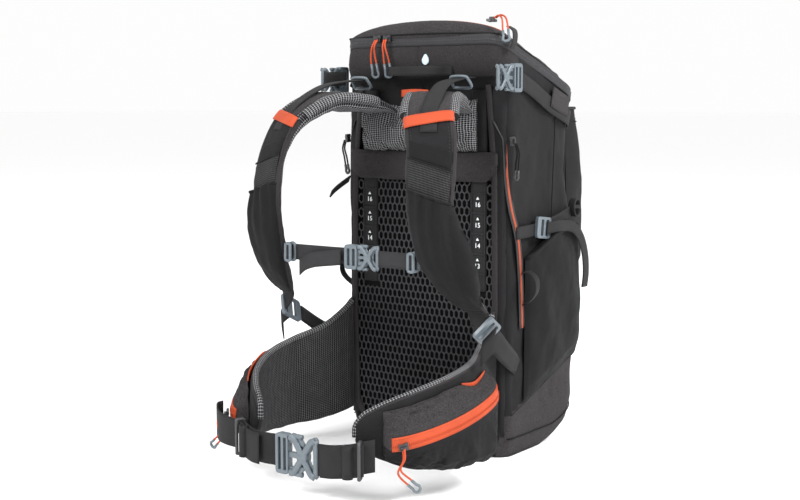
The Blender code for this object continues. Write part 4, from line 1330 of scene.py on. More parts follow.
def make_strap(side, sign):
    face = strap_face(sign)
    body = f"strap_{side}"
    band = strap_band(sign)
    root, free = tuple(band.at(0.10)), tuple(band.at(0.24))
    orange_at = height_share(sign, 0.431)

    def pick(u, v, part):
        if part == "bottom":
            return 2
        if part == "side" or v < 0.09 or v > 0.91:
            return 2 if u < orange_at else 3
        return 1 if u < orange_at else 0

    pad = slab(f"strap_cushion_{side}", lambda u, v: face(u, v, strap_lift(u, v)),
               lambda u, v: face(u, v, -strap_lift(u, v, False)), 120, 26,
               ["panel", "heather", "spacer", "binding"], pick)
    crumple(pad, 0.0014, 42.0, (1, 1, 1), None, 5.0 + sign)
    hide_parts(f"strap_pad_{side}")
    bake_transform(pad)
    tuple(root)
    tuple(free)

    def on_top(u, v, over):
        return face(u, v, strap_lift(u, min(1.0, max(0.0, v))) + over)

    pipes = [tube(f"edge_{k}", [on_top(u, v, -0.0006) for u in [0.06 + 0.01 * k for k in range(92)]], 0.0012,
                  "binding", 6)
             for k, v in enumerate((0.035, 0.965))]
    trims = join(f"strap_binding_{side}", pipes)
    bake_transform(trims)
    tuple(root)
    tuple(free)
    upper = [0.10 + (orange_at - 0.125) * k / 40 for k in range(41)]
    rolls = [tube(f"roll_{k}", [on_top(u, v, -0.0046) for u in upper], 0.0068, "spacer", 12, 0.85) for k, v in
             enumerate((0.015, 0.985))]
    sides = join(f"strap_roll_{side}", rolls)
    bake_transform(sides)
    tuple(root)
    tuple(free)
    rowed = [[on_top(u, v, 0.0003) for u in [0.30 + 0.01 * k for k in range(68)]] for v in (0.12, 0.88)]
    stitches(f"strap_stitches_{side}", rowed, body)

    def wrapped(u, v, over):
        return on_top(u - 0.010 / band.length * (v - 0.5), v, over)

    width = 0.0066 / band.length
    band_piece = patch(f"strap_orange_{side}", wrapped, ["orange"], (orange_at - width, orange_at + width),
                       (-0.01, 1.01), 0.0020, 0.0036, (6, 24), None, 0.8)
    rides(band_piece, body, "webbing")

    slope = 0.016 / band.length

    def slanted(u, v, over):
        return on_top(u + slope * (v - 0.5), v, over)

    panel_top = height_share(sign, 0.402)
    net_top = height_share(sign, 0.380)
    net_low = height_share(sign, 0.328)
    strip = patch(f"strap_panel_{side}", slanted, ["stretch"], (panel_top, net_top), (0.07, 0.93), 0.0001,
                  0.0013, (12, 16))
    rides(strip, body, "pad_fabric")
    net = patch(f"strap_mesh_{side}", slanted, ["pocket_mesh"], (net_top, net_low), (0.06, 0.94), 0.0001,
                0.0026, (34, 20))
    crumple(net, 0.0012, 52.0, (1, 1, 1), None, 8.0)
    rides(net, body, "stretch_fabric")
    seam = tube(f"strap_seam_{side}", [slanted(net_top, 0.05 + 0.9 * k / 24, 0.0022) for k in range(25)],
                0.0010, "thread_dark", 6)
    rides(seam, body, "pad_fabric")

    start, stop = height_share(sign, 0.345), height_share(sign, 0.214)

    def hang(u, v, over):
        share = u
        swell = math.sin(math.pi * min(1.0, share * 0.80 + 0.19)) ** 0.8
        reach = 0.94 + 0.42 * math.sin(math.pi * min(1.0, share * 0.9 + 0.05)) ** 1.3
        across = 0.03 + reach * v
        inner_edge = math.sqrt(max(0.0, 1 - abs(2 * v - 1) ** 3.4))
        folds = 0.0016 * math.sin(v * 26 + 2.5 * math.sin(share * 4)) * (1 - share) ** 2
        puff = (0.0165 * swell * (0.5 + 0.5 * v) + folds) * inner_edge * over
        along = start + (stop - start) * share + slope * (v - 0.5) * (1 - share)
        if across <= 1.0:
            base = strap_lift(along, min(1.0, across)) + 0.0002
        else:
            base = 0.0006 - 0.010 * (across - 1.0)
        return face(along, across, base + puff + 0.0004 * over)

    pouch = slab(f"strap_pouch_{side}", lambda u, v: hang(u, v, 1.0), lambda u, v: hang(u, v, 0.0), 50, 34,
                 ["stretch", "shadow"])
    crumple(pouch, 0.0020, 30.0, (1, 1, 0.55), None, 12.0)
    crumple(pouch, 0.0007, 80.0, (1, 1, 0.6), None, 13.0)
    rides(pouch, body, "stretch_fabric")
    mouth = [hang(0.0, k / 30, 1.0) for k in range(31)]
    rides(tube(f"pouch_elastic_{side}", mouth, 0.0013, "thread_dark", 8), body, "stretch_fabric")


def make_lifters():
    """The rings on the yoke and the short webbing that pulls each strap towards the top of the back."""
    for side, sign in SIDES:
        low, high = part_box(f"lifter_lock_{side}")
        centre = (low + high) / 2
        face = strap_face(sign)
        band = strap_band(sign)
        orange_at = height_share(sign, 0.431)
        rise = Vector((0, -0.55, 0.83)).normalized()
        corners = [Vector((dx, 0, 0)) + rise * dz
                   for dx, dz in ((-0.0125, -0.0075), (0.0125, -0.0075), (0.0125, 0.0050),
                                  (0.0085, 0.0085), (-0.0085, 0.0085),
                                  (-0.0125, 0.0050))]
        lift = Vector((0, 0.002, 0.004))
        ring = smooth([centre + lift + c for c in [*corners, corners[0]]], 5)
        loop = tube(f"lifter_ring_{side}", ring, 0.0020, "plastic", 10)
        rides(loop, "yoke", "grey_plastic", f"lifter_lock_{side}")
        spots = [(0.19, 0.70, 0.0105), (0.25, 0.64, 0.0040), (0.31, 0.58, 0.0018)]
        spots += [(orange_at - 0.03, 0.52, 0.0010), (orange_at + 0.018, 0.50, 0.0008),
                  (orange_at + 0.040, 0.49, 0.0008)]
        path = [Vector((sign * 0.0805, -0.0125, 0.4850)),
                Vector((centre.x, centre.y - BACK - 0.002, centre.z + 0.0085))]
        halves = [Vector((0.0098, 0, 0)), Vector((0.0098, 0, 0))]
        for u, v, over in spots:
            path.append(shifted([face(u, v, strap_lift(u, v) + over)])[0])
            halves.append((face(u, v + 0.1, 0) - face(u, v - 0.1, 0)).normalized() * 0.0098 * sign)
        upper = ribbon(f"lifter_webbing_{side}", path, halves, 0.0016, "web", 6)
        tuple(band.at(0.10))
        tuple(band.at(0.24))
        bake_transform(upper)


def flipped(sign, point):
    """The point of the left side on this side."""
    return Vector((sign * point.x, point.y, point.z))


def make_strap_tails():
    """Webbing from the strap's end through its ladder lock and down to the bag's lower corner."""
    for side, sign in SIDES:
        lock = Vector((0.1545, -0.083, 0.183))
        anchor = Vector((0.1315, 0.030, 0.120))
        along = (anchor - lock).normalized()
        across = Vector((0.50, 0.48, 0.72))
        across = (across - across.dot(along) * along).normalized()
        web_path = [lock + along * 0.0195, lock.lerp(anchor, 0.45) + Vector((0.001, 0, -0.004)),
                    lock.lerp(anchor, 0.75) + Vector((0.0, 0, -0.004)),
                    anchor + Vector((-0.0060, 0.004, -0.003))]
        sewn = Vector((0, 0.0060, 0.0085))
        widths = [across * 0.0122, across * 0.0105 + sewn * 0.15, across * 0.0065 + sewn * 0.5, sewn]
        low = ribbon(f"strap_tail_{side}", [flipped(sign, p) for p in web_path],
                     [flipped(sign, w) for w in widths], 0.0018, "web", 8)
        rides(low, f"strap_{side}", "webbing", f"lower_webbing_{side}")
        end = Vector(STRAP_LINE[-1])
        stub = [end + (lock - end) * -0.30, end + (lock - end) * 0.2, lock - along * 0.012]
        top = ribbon(f"strap_stub_{side}", [flipped(sign, p) for p in stub],
                     [flipped(sign, Vector((0.0122, 0.0025, 0))),
                      flipped(sign, Vector((0.0120, 0.003, 0.002))), flipped(sign, across * 0.0118)],
                     0.0018, "web", 6)
        rides(top, f"strap_{side}", "webbing")
        tail = [lock + along * 0.006 + Vector((0.004, -0.003, 0.0)), lock + Vector((0.0075, -0.009, -0.011)),
                lock + Vector((0.0075, -0.010, -0.018)), lock + Vector((0.0068, -0.0092, -0.025)),
                lock + Vector((0.0060, -0.0085, -0.032))]
        free = ribbon(f"strap_end_{side}", [flipped(sign, p) for p in tail],
                      [flipped(sign, across * 0.0118)] * 5, 0.0017, "web", 6)
        rides(free, f"lock_{side}", "webbing")


def make_sternum():
    for side, sign in SIDES:
        low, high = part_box(f"sternum_webbing_{side}")
        z = (low.z + high.z) / 2
        y = (low.y + high.y) / 2 - BACK
        near = low.x if sign > 0 else high.x
        far = high.x if sign > 0 else low.x
        path = [Vector((near + (far - near) * k / 5, y + 0.0006 * math.sin(k), z)) for k in range(6)]
        if side == "right":
            path[0].y = -0.1428
            path[1].y = -0.1440
        low_box, high_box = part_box(f"sternum_slider_{side}")
        middle = (low_box + high_box) / 2
        wide, tall = (high_box.x - low_box.x) / 2 - 0.0022, (high_box.z - low_box.z) / 2 - 0.0022
        corner = [Vector((dx * wide, 0, dz * tall))
                  for dx, dz in ((-1, -0.9), (0, -1), (1, -0.9), (1, 0.9), (0, 1),
                                 (-1, 0.9), (-1, -0.9))]
        rings = []
        for level in (-0.0055, 0.0035):
            ring = [middle + Vector((0, level, 0)) + a.lerp(b, k / 5) for a, b in zip(corner, corner[1:])
                    for k in range(5)]
            rings.append(tube(f"ring_{level}", [*ring, ring[0]], 0.0021, "plastic", 8))
        for turn in (-1, 1):
            post = [middle + Vector((sign * wide, y, turn * tall * 0.9)) for y in (-0.0055, -0.001, 0.0035)]
            rings.append(tube(f"post_{turn}", post, 0.0021, "plastic", 8))
        rides(join(f"chest_slider_{side}", rings), f"sternum_{side}", "grey_plastic", f"sternum_slider_{side}")
        cross = [middle + Vector((0, y, 0)) for y in (-0.0062, -0.001, 0.0042)]
        hold = ribbon(f"chest_hold_{side}", shifted([Vector((middle.x, p.y, p.z)) for p in cross]),
                      [Vector((0, 0, 0.0094))] * 3, 0.0030, "web", 3)
        rides(hold, f"sternum_{side}", "webbing")
        web = ribbon(f"chest_webbing_{side}", path, [Vector((0, 0, 0.0098))] * 6, 0.0017, "web_light", 6)
        if side == "left":
            rides(web, "sternum_left", "webbing", "sternum_webbing_left")
        else:
            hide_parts("sternum_webbing_right")
            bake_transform(web)
    tail = [Vector((-0.014, -0.1506, 0.2665)), Vector((-0.034, -0.1535, 0.2640)),
            Vector((-0.054, -0.1530, 0.2610)), Vector((-0.070, -0.1515, 0.2560)),
            Vector((-0.0800, -0.1505, 0.2490))]
    loose = ribbon("chest_tail", tail, [Vector((0, 0, 0.0096))] * 5, 0.0016, "web_light", 6)
    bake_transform(loose)


# ---- the hip belt -------------------------------------------------------------------------------
WING_ROWS = ((28, 0.032, 0.159), (8, 0.030, 0.146), (-12, 0.031, 0.136), (-32, 0.037, 0.124),
             (-48, 0.048, 0.110), (-60, 0.060, 0.094))
WING_MIDDLE = (0.005, -0.115)
WING_REACH = 0.137


def wing_face(sign):
    """over(u, v, lift): u from the bag to the tip, v from the bottom to the top, lift outwards."""
    points = [Vector((0.1130, -0.0030, 0)), Vector((0.1175, -0.018, 0))]
    outs = [Vector((0.85, 0.52, 0)), Vector((0.93, 0.36, 0))]
    lows, tops = [0.040, 0.036], [0.192, 0.178]
    for degrees, low, top in WING_ROWS:
        way = Vector((math.cos(math.radians(degrees)), math.sin(math.radians(degrees)), 0))
        points.append(Vector((*WING_MIDDLE, 0)) + WING_REACH * way)
        outs.append(way)
        lows.append(low)
        tops.append(top)
    ends = smooth([Vector((a, b, 0)) for a, b in zip(lows, tops)], 10)
    line, normal = smooth(points, 10), smooth(outs, 10)
    last = len(line) - 1

    def face(u, v, over):
        spot = min(max(u, 0.0), 1.0) * last
        k = min(int(spot), last - 1)
        t = spot - k
        point = line[k].lerp(line[k + 1], t)
        out = normal[k].lerp(normal[k + 1], t).normalized()
        edge = ends[k].lerp(ends[k + 1], t)
        place = point + over * out
        tip = min(1.0, max(0.0, (u - 0.93) / 0.07))
        middle, half = (edge.x + edge.y) / 2, (edge.y - edge.x) / 2 * math.sqrt(1 - 0.75 * tip * tip)
        return at(sign * place.x, place.y, middle + half * (2 * v - 1))
    return face


def make_wing(side, sign):
    face = wing_face(sign)

    def lift(u, v, outer):
        swell = math.sqrt(max(0.0, 1 - abs(2 * v - 1) ** 5))
        tip = math.sqrt(max(0.0, 1 - max(0.0, 2 * u - 1) ** 14)) * (0.25 + 0.75 * ease(0.0, 0.12, u))
        groove = 0.0
        if not outer:
            groove = 0.22 * math.exp(-(((u - 0.42) / 0.02) ** 2)) + 0.18 * math.exp(-(((u - 0.62) / 0.02) ** 2))
        return 0.0064 * (0.22 + 0.78 * swell * tip) * (1 - groove)

    def pick(u, v, part):
        if part == "bottom":
            return 1
        if part == "side":
            return 2
        return 2 if v > 0.965 else 0

    pad = slab(f"wing_cushion_{side}", lambda u, v: face(u, v, lift(u, v, True)),
               lambda u, v: face(u, v, -lift(u, v, False)), 90, 30, ["panel", "spacer_fine", "binding"], pick)
    crumple(pad, 0.0015, 32.0, (1, 1, 1), None, 14.0 + sign)
    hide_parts(f"hip_pad_{side}")
    root, next_one = face(0.06, 0.4, 0), face(0.24, 0.4, 0)
    tuple(root)
    tuple(next_one)
    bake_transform(pad)
    roll = [face(u, 0.985, -0.0015) for u in [0.02 + 0.0098 * k for k in range(100)]]
    roll += [face(1.0, v, -0.0010) for v in (0.9, 0.8, 0.7, 0.6, 0.5, 0.4, 0.3)]
    edge = tube(f"wing_roll_{side}", roll, 0.0037, "spacer", 10)
    tuple(root)
    tuple(next_one)
    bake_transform(edge)


ZIP_MIDDLE, ZIP_SLOPE = 0.0970, 0.247
POCKET_FROM, POCKET_TO = -47.0, 20.0


def pocket_face(sign):
    """over(u, v, lift): u from the front end to the rear, v from the pocket's bottom to its top edge."""
    bottoms = ((-47, 0.048), (-34, 0.036), (-12, 0.0275), (8, 0.0275), (20, 0.034))

    def face(u, v, over):
        degrees = POCKET_FROM + (POCKET_TO - POCKET_FROM) * u
        angle = math.radians(degrees)
        taper = math.sqrt(max(0.0, 1 - abs(2 * u - 1) ** 7))
        y_ring = WING_MIDDLE[1] + 0.168 * math.sin(angle)
        zip_z = ZIP_MIDDLE + ZIP_SLOPE * (y_ring - WING_MIDDLE[1])
        low, top = along_table(bottoms, degrees), zip_z + 0.0385 - 0.0185 * ease(-14, 8, degrees)
        shape = ((0.0, 0.1455, low), (0.10, 0.1590, low + 0.003), (0.28, 0.1672, low + 0.018),
                 (0.45, 0.1690, zip_z - 0.012), (0.62, 0.1682, zip_z), (0.74, 0.1655, zip_z + 0.014),
                 (0.92, 0.1570, top - 0.004), (1.0, 0.1462, top))
        reach = along_table([(a, b) for a, b, _ in shape], v)
        z = along_table([(a, c) for a, _, c in shape], v)
        reach = 0.1450 + (reach - 0.1450) * taper + over
        return at(sign * (WING_MIDDLE[0] + reach * math.cos(angle)), WING_MIDDLE[1] + reach * math.sin(angle),
                  z)
    return face


def make_hip_pocket(side, sign):
    face = pocket_face(sign)
    body = f"hip_{side}"

    def inside(u, v):
        top = face(u, v, 0)
        ring = Vector((sign * WING_MIDDLE[0], WING_MIDDLE[1] + BACK, 0))
        flat = Vector((top.x - ring.x, top.y - ring.y, 0)).normalized()
        return Vector((ring.x + 0.1448 * flat.x, ring.y + 0.1448 * flat.y, top.z))

    def pick(u, v, part):
        return 0 if v > 0.52 else 1

    pouch = slab(f"hip_pouch_{side}", lambda u, v: face(u, v, 0), inside, 60, 44, ["heather", "panel"], pick)

    def beside_zip(p):
        y = p.y - BACK
        return ease(0.011, 0.024, abs(p.z - ZIP_MIDDLE - ZIP_SLOPE * (y - WING_MIDDLE[1])))

    def swells(p):
        reach = math.hypot(abs(p.x) - WING_MIDDLE[0], p.y - BACK - WING_MIDDLE[1])
        return ease(0.1475, 0.156, reach) * beside_zip(p)

    inflate(pouch, 0.0070, swells)
    crumple(pouch, 0.0030, 26.0, (1, 1, 1), lambda p: 0.25 + 0.75 * beside_zip(p), 31.0 + sign, 0.40)
    crumple(pouch, 0.0010, 70.0, (1, 1, 1), beside_zip, 3.0, 0.3)
    rides(pouch, body, "pocket_fabric", f"hip_pocket_{side}")
    tape = patch(f"hip_zip_tape_{side}", face, ["orange"], (0.045, 0.97), (0.535, 0.700), -0.0010, 0.0011,
                 (60, 10), None, 0.9)
    rides(tape, body, "webbing")
    line = [face(u, 0.62, 0.0014) for u in [0.05 + 0.0115 * k for k in range(80)]]
    teeth = rows(f"hip_zip_teeth_{side}", [line], sizes().tooth, (sizes().tooth * 0.62, 0.0036, 0.0012),
                 "orange")
    rides(teeth, body, "webbing")
    sewn = [[face(u, v, 0.0013) for u in [0.06 + 0.012 * k for k in range(75)]] for v in (0.550, 0.686)]
    stitches(f"hip_stitches_{side}", sewn, body, "orange", 0.0032)
    first = 0.62 if side == "left" else 0.10
    mouth = [face(first + (0.97 - first) * k / 30, 1.0, -0.0008) for k in range(31)]
    tall = 0.0024 if side == "left" else 0.0046
    lining = ribbon(f"hip_lining_{side}", [p + Vector((0, 0, tall * 0.6)) for p in shifted(mouth)],
                    [Vector((0, 0, tall * math.sin(math.pi * (0.04 + 0.92 * k / 30)) ** 0.5))
                     for k in range(31)],
                    0.0014, "orange", 2, 3)
    rides(lining, body, "webbing")
    low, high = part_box(f"hip_zip_slider_{side}")
    middle = (low + high) / 2
    out = Vector((sign * 0.60, -0.80, 0)).normalized()
    start = middle + out * 0.0052 + Vector((0, 0, -0.002))
    pull(f"hip_pull_{side}", f"hip_slider_{side}", start,
         [start + out * 0.0065 + Vector((0, 0, -0.010)),
          start + out * 0.0045 + Vector((sign * -0.004, -0.003, -0.024)),
          start + out * 0.0030 + Vector((sign * 0.010, 0.0, -0.036))], 0.012)


def make_hip_webbing():
    left = [(0.042, -0.262, 0.048), (0.060, -0.259, 0.0485), (0.080, -0.2505, 0.051), (0.096, -0.2405, 0.055),
            (0.104, -0.2360, 0.057)]
    right = [(-0.006, -0.2545, 0.048), (-0.020, -0.2555, 0.048), (-0.042, -0.2580, 0.048),
             (-0.060, -0.2570, 0.0485), (-0.080, -0.2495, 0.051), (-0.096, -0.2400, 0.055),
             (-0.104, -0.2360, 0.057)]
    upright = Vector((0, 0, 0.0188))
    for side, path in (("left", left), ("right", right)):
        web = ribbon(f"belt_webbing_{side}", [Vector(p) for p in path], [upright] * len(path), 0.0018, "web",
                     8, 6)
        if side == "left":
            rides(web, "hip_left", "webbing", "hip_webbing_left")
        else:
            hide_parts("hip_webbing_right")
            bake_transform(web)
        bars = [[Vector((p[0] + dx, p[1] + BACK - 0.0012, p[2] + dz))
                 for dz in (-0.017, -0.008, 0.0, 0.008, 0.017)]
                for p, dx in ((path[1 if side == "left" else 3], 0.0),
                              (path[1 if side == "left" else 3], 0.004))]
        if side == "left":
            stitches("belt_stitches_left", bars, "hip_left", "thread", 0.0030)
    for side, sign in SIDES:
        path = [Vector((sign * x, y, z)) for x, y, z in ((0.047, -0.2650, 0.0475), (0.062, -0.2625, 0.0480),
                                                         (0.082, -0.2538, 0.0500), (0.095, -0.2450, 0.0520))]
        tail = ribbon(f"belt_tail_{side}", path, [Vector((0, 0, 0.0186))] * 4, 0.0017, "web", 6, 6)
        if side == "left":
            rides(tail, "hip_left", "webbing")
        else:
            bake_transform(tail)
        way, out = Vector((0.90 * sign, 0.43, 0)), Vector((0.43 * sign, -0.90, 0))
        spot = Vector((sign * 0.0800, -0.2560 + BACK, 0.0500))
        fold = [spot + way * (0.0055 * math.cos(a)) + out * (0.0048 * math.sin(a)) for a in
                [math.pi * 2 * k / 14 - 0.6 for k in range(14)]]
        roll = ribbon(f"belt_fold_{side}", shifted(fold), [upright * 1.03] * 14, 0.0015, "web", 2, 6)
        rides(roll, f"hip_{side}", "webbing")
        frame_at = Vector((sign * 0.0915, -0.2475 + BACK, 0.0520))
        corners = [out * o + Vector((0, 0, z))
                   for o, z in ((-0.0036, -0.0212), (0.0060, -0.0212), (0.0060, 0.0212),
                                (-0.0036, 0.0212), (-0.0036, -0.0212))]
        ring = [frame_at + a.lerp(b, k / 6) for a, b in zip(corners, corners[1:]) for k in range(6)]
        keeper = tube(f"belt_keeper_{side}", [*ring, ring[0]], 0.0021, "plastic_dark", 8)
        rides(keeper, f"hip_{side}", "grey_plastic")
    slack = [Vector(p) for p in ((-0.101, -0.2440, 0.0530), (-0.118, -0.2440, 0.0545),
                                 (-0.136, -0.2390, 0.0560), (-0.1520, -0.2270, 0.0590),
                                 (-0.1585, -0.2180, 0.0610), (-0.1560, -0.2120, 0.0620))]
    rides(ribbon("belt_slack", slack, [Vector((0, 0, 0.0175)), Vector((0, 0, 0.0182)),
                                       *[Vector((0, 0, 0.0185))] * 4], 0.0017,
                 "web", 8, 6), "hip_right", "webbing")


# ---- stretch pockets ----------------------------------------------------------------------------
def make_side_pocket(side, sign):
    bulges = ((0.00, 0.001), (0.10, 0.011), (0.35, 0.0165), (0.75, 0.0165), (1.0, 0.0125))

    def face(depth):
        def place(u, v):
            y = 0.047 + 0.147 * v
            low = base_seam(y) + 0.0015
            top = along_table(((0.030, 0.250), (0.060, 0.262), (0.100, 0.282), (0.150, 0.290),
                               (0.194, 0.290)), y)
            z = low + (top - low) * u
            puff = along_table(bulges, u) * math.sqrt(max(0.0, 1 - abs(2 * v - 1) ** 3.0))
            folds = 0.0012 * math.sin(u * 9 + 14 * v) * math.sin(math.pi * v)
            spot = skin(sign, y, z, 0.0)
            limit = sign * (abs(spot.x) + 0.0003 + depth * (puff + folds))
            return Vector((limit, spot.y, spot.z))
        return place

    cloth = slab(f"side_pouch_{side}", face(1.0), face(0.0), 56, 52, ["stretch", "shadow"],
                 lambda u, v, part: 1 if part == "side" and u > 0.97 else 0)
    crumple(cloth, 0.0026, 22.0, (1, 1, 0.5), lambda p: ease(0.1295, 0.136, abs(p.x)), 41.0, 0.4)
    crumple(cloth, 0.0010, 60.0, (1, 1, 0.6), lambda p: ease(0.1295, 0.136, abs(p.x)), 44.0, 0.3)
    rides(cloth, "pack", "stretch_fabric", f"side_pocket_{side}")
    mouth = [face(1.0)(1.0, k / 40) + Vector((0, 0, 0.0006)) for k in range(41)]
    rides(tube(f"side_elastic_{side}", mouth, 0.0019, "thread_dark", 8), "pack", "stretch_fabric")


def make_front_pocket():
    levels = ((0.190, 0.088, 0.010), (0.205, 0.098, 0.046), (0.240, 0.105, 0.074), (0.290, 0.106, 0.086),
              (0.350, 0.106, 0.083), (0.400, 0.105, 0.071), (0.446, 0.104, 0.056))
    walls = [(z, half) for z, half, _ in levels]
    depths = [(z, depth) for z, _, depth in levels]

    def face(amount):
        def place(u, v):
            z = 0.190 + 0.256 * u
            half = along_table(walls, z)
            turn = math.pi * v
            across, out = -math.cos(turn), math.sin(turn)
            x = half * math.copysign(abs(across) ** 0.50, across)
            y = 0.1868 + (along_table(FRONT_WALL, z) - 0.1868) * 0.9
            y += along_table(depths, z) * abs(out) ** 0.50 * amount
            return at(x, y, z)
        return place

    cloth = slab("front_pouch", face(1.0), face(0.02), 52, 72, ["stretch", "shadow"],
                 lambda u, v, part: 1 if part == "side" and u > 0.97 else 0)
    crumple(cloth, 0.0052, 13.0, (1, 1, 0.5), lambda p: ease(0.205, 0.24, p.y - BACK), 51.0, 0.4)
    crumple(cloth, 0.0012, 50.0, (1, 1, 0.6), lambda p: ease(0.205, 0.24, p.y - BACK), 54.0, 0.3)
    rides(cloth, "pack", "stretch_fabric", "front_pocket")
    mouth = [face(1.0)(1.0, k / 60) + Vector((0, 0, 0.0004)) for k in range(61)]
    rides(tube("front_elastic", mouth, 0.0021, "binding", 8), "pack", "stretch_fabric")
    on_cloth = face(1.0)
    hem = [[on_cloth(u, 0.06 + 0.022 * k) + Vector((0, 0.0004, 0)) for k in range(41)] for u in (0.93, 0.945)]
    darts = [[on_cloth(0.03 + 0.012 * k, v + 0.0045 * k * (1 if v < 0.5 else -1)) for k in range(16)]
             for v in (0.24, 0.76)]
    seams = [tube(f"dart_{k}", line, 0.0010, "thread_dark", 6) for k, line in enumerate([hem[0], *darts])]
    rides(join("front_seams", seams), "pack", "stretch_fabric")
    stitches("front_stitches", [hem[1]], "pack", "thread")


# ---- side webbing -------------------------------------------------------------------------------
def make_side_webbing():
    for side, sign in SIDES:
        spots = ((0.018, 0.485), (0.060, 0.470), (0.105, 0.450), (0.150, 0.435), (0.180, 0.429))
        centres = shifted([skin(sign, y, z, 0.0022) for y, z in spots])
        upper = ribbon(f"top_webbing_{side}", centres, [Vector((0, 0.0035, 0.0094))] * 5, 0.0015, "web", 6)
        rides(upper, "pack", "webbing", f"upper_webbing_{side}")
        tab = shifted([skin(sign, y, z, 0.0040) for y, z in ((0.104, 0.462), (0.125, 0.4545), (0.146, 0.448))])
        rides(ribbon(f"top_tab_{side}", tab, [Vector((0, 0.004, 0.0125))] * 3, 0.0014, "heather", 6), "pack",
              "webbing")
        stub = shifted([at(sign * 0.1345, -0.0355, 0.4842), at(sign * 0.1300, -0.026, 0.4850),
                        at(sign * 0.1210, -0.006, 0.4855)])
        rides(ribbon(f"top_stub_{side}", stub, [Vector((0, 0.001, 0.0092))] * 3, 0.0017, "web", 6), "pack",
              "webbing")
        spots = ((0.022, 0.290), (0.070, 0.292), (0.120, 0.299), (0.160, 0.309))
        centres = shifted([skin(sign, y, z, 0.0024) for y, z in spots])
        mid = ribbon(f"side_strap_{side}", centres, [Vector((0, 0.0, 0.0078))] * 4, 0.0015, "web", 6)
        rides(mid, "pack", "webbing", f"side_webbing_{side}")
        eye = [Vector((sign * 0.1330, 0.1660 + 0.0080 * math.cos(a), 0.3140 + 0.0115 * math.sin(a)))
               for a in [0.3 + 2 * math.pi * k / 14 for k in range(14)]]
        rides(ribbon(f"side_eye_{side}", eye, [Vector((sign * 0.0048, 0, 0))] * 14, 0.0016, "web", 3), "pack",
              "webbing")
        tail = [Vector((sign * x, y, z)) for x, y, z in ((0.1372, 0.086, 0.2920), (0.1420, 0.112, 0.2940),
                                                         (0.1445, 0.142, 0.2900), (0.1455, 0.162, 0.2740),
                                                         (0.1462, 0.173, 0.2500), (0.1450, 0.178, 0.2250),
                                                         (0.1420, 0.180, 0.2060))]
        halves = [Vector((0, 0.0010, 0.0075)), Vector((0, 0.0012, 0.0075)), Vector((0, 0.0040, 0.0064)),
                  Vector((0, 0.0066, 0.0036)), Vector((0, 0.0074, 0.0014)), Vector((0, 0.0075, 0.0004)),
                  Vector((0, 0.0075, 0))]
        rides(ribbon(f"side_tail_{side}", tail, halves, 0.0015, "web", 8), "pack", "webbing")
        loop = [Vector((sign * x, y, z))
                for x, y, z in ((0.1275, 0.040, 0.238), (0.1420, 0.034, 0.241), (0.1560, 0.029, 0.233),
                                (0.1555, 0.030, 0.217), (0.1420, 0.036, 0.203),
                                (0.1275, 0.044, 0.197))]
        rides(ribbon(f"side_loop_{side}", loop, [Vector((0, 0.0045, 0.001))] * 6, 0.0014, "web", 6), "pack",
              "webbing")
        stub = [Vector((sign * x, y, z)) for x, y, z in ((0.1175, -0.004, 0.3520), (0.1195, -0.018, 0.3450),
                                                         (0.1210, -0.030, 0.3385), (0.1215, -0.038, 0.3330))]
        if side == "right":
            rides(ribbon("yoke_stub", stub, [Vector((0.0012, 0.0010, 0.0042))] * 4, 0.0022, "web", 6), "yoke",
                  "webbing")


# ---- plastics -----------------------------------------------------------------------------------
def dress_hardware():
    """The moulded and metal fittings keep the frame's shapes and get their finishes."""
    for name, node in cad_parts.items():
        if "slider" in name and "sternum" not in name:
            finish = "metal"
        elif "buckle" in name or "lock" in name or "slider" in name:
            finish = "plastic"
        elif name == "frame_sheet":
            finish = "plastic_dark"
        else:
            continue
        node.data.materials.clear()
        node.data.materials.append(mat(finish))
        node.data.polygons.foreach_set("material_index", [0] * len(node.data.polygons))


def crossed_socket(name, body, nodes, along, across, out, narrow=1.0):
    """A buckle's socket as two crossed frames with an end bar, open between its arms."""
    low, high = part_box(nodes)
    centre = (low + high) / 2
    size = high - low
    long, wide, thick = abs(size.dot(along)), abs(size.dot(across)), abs(size.dot(out))
    wide *= narrow
    radius = wide * 0.085
    bars = []

    def bar(points, r, level, squeeze=0.62):
        path = smooth([centre + along * long * a + across * wide * b + out * level for a, b in points], 6)
        bars.append(tube("bar", path, r, "plastic", 12, squeeze, out))

    for level in (-thick * 0.27, thick * 0.27):
        for turn in (-1, 1):
            bar([(-0.47, 0.44 * turn), (-0.30, 0.40 * turn), (-0.06, 0.11 * turn), (0.08, 0.11 * turn),
                 (0.30, 0.38 * turn), (0.45, 0.44 * turn)], radius, level)
        bar([(-0.15, 0.0), (-0.05, 0.0), (0.08, 0.0), (0.17, 0.0)], radius * 1.5, level, 0.42)
    bar([(0.45, -0.45), (0.46, -0.15), (0.46, 0.15), (0.45, 0.45)], radius * 0.85, 0.0, 1.0)
    for turn in (-1, 1):
        bar([(-0.47, 0.44 * turn), (-0.25, 0.46 * turn), (-0.05, 0.46 * turn)], radius * 0.8, 0.0, 1.0)
    rides(join(name, bars), body, "grey_plastic", nodes)


def make_buckles():
    """The sockets of the side-release buckles."""
    x, y, z = Vector((1, 0, 0)), Vector((0, 1, 0)), Vector((0, 0, 1))
    crossed_socket("hip_socket", "hip_left", "hip_buckle_body", x, z, -y)
    crossed_socket("sternum_socket", "sternum_left", "sternum_buckle_body", x, z, -y)
    for side, sign in SIDES:
        crossed_socket(f"upper_socket_{side}", "pack", f"upper_buckle_{side}_body", -y, z, sign * x, 0.88)


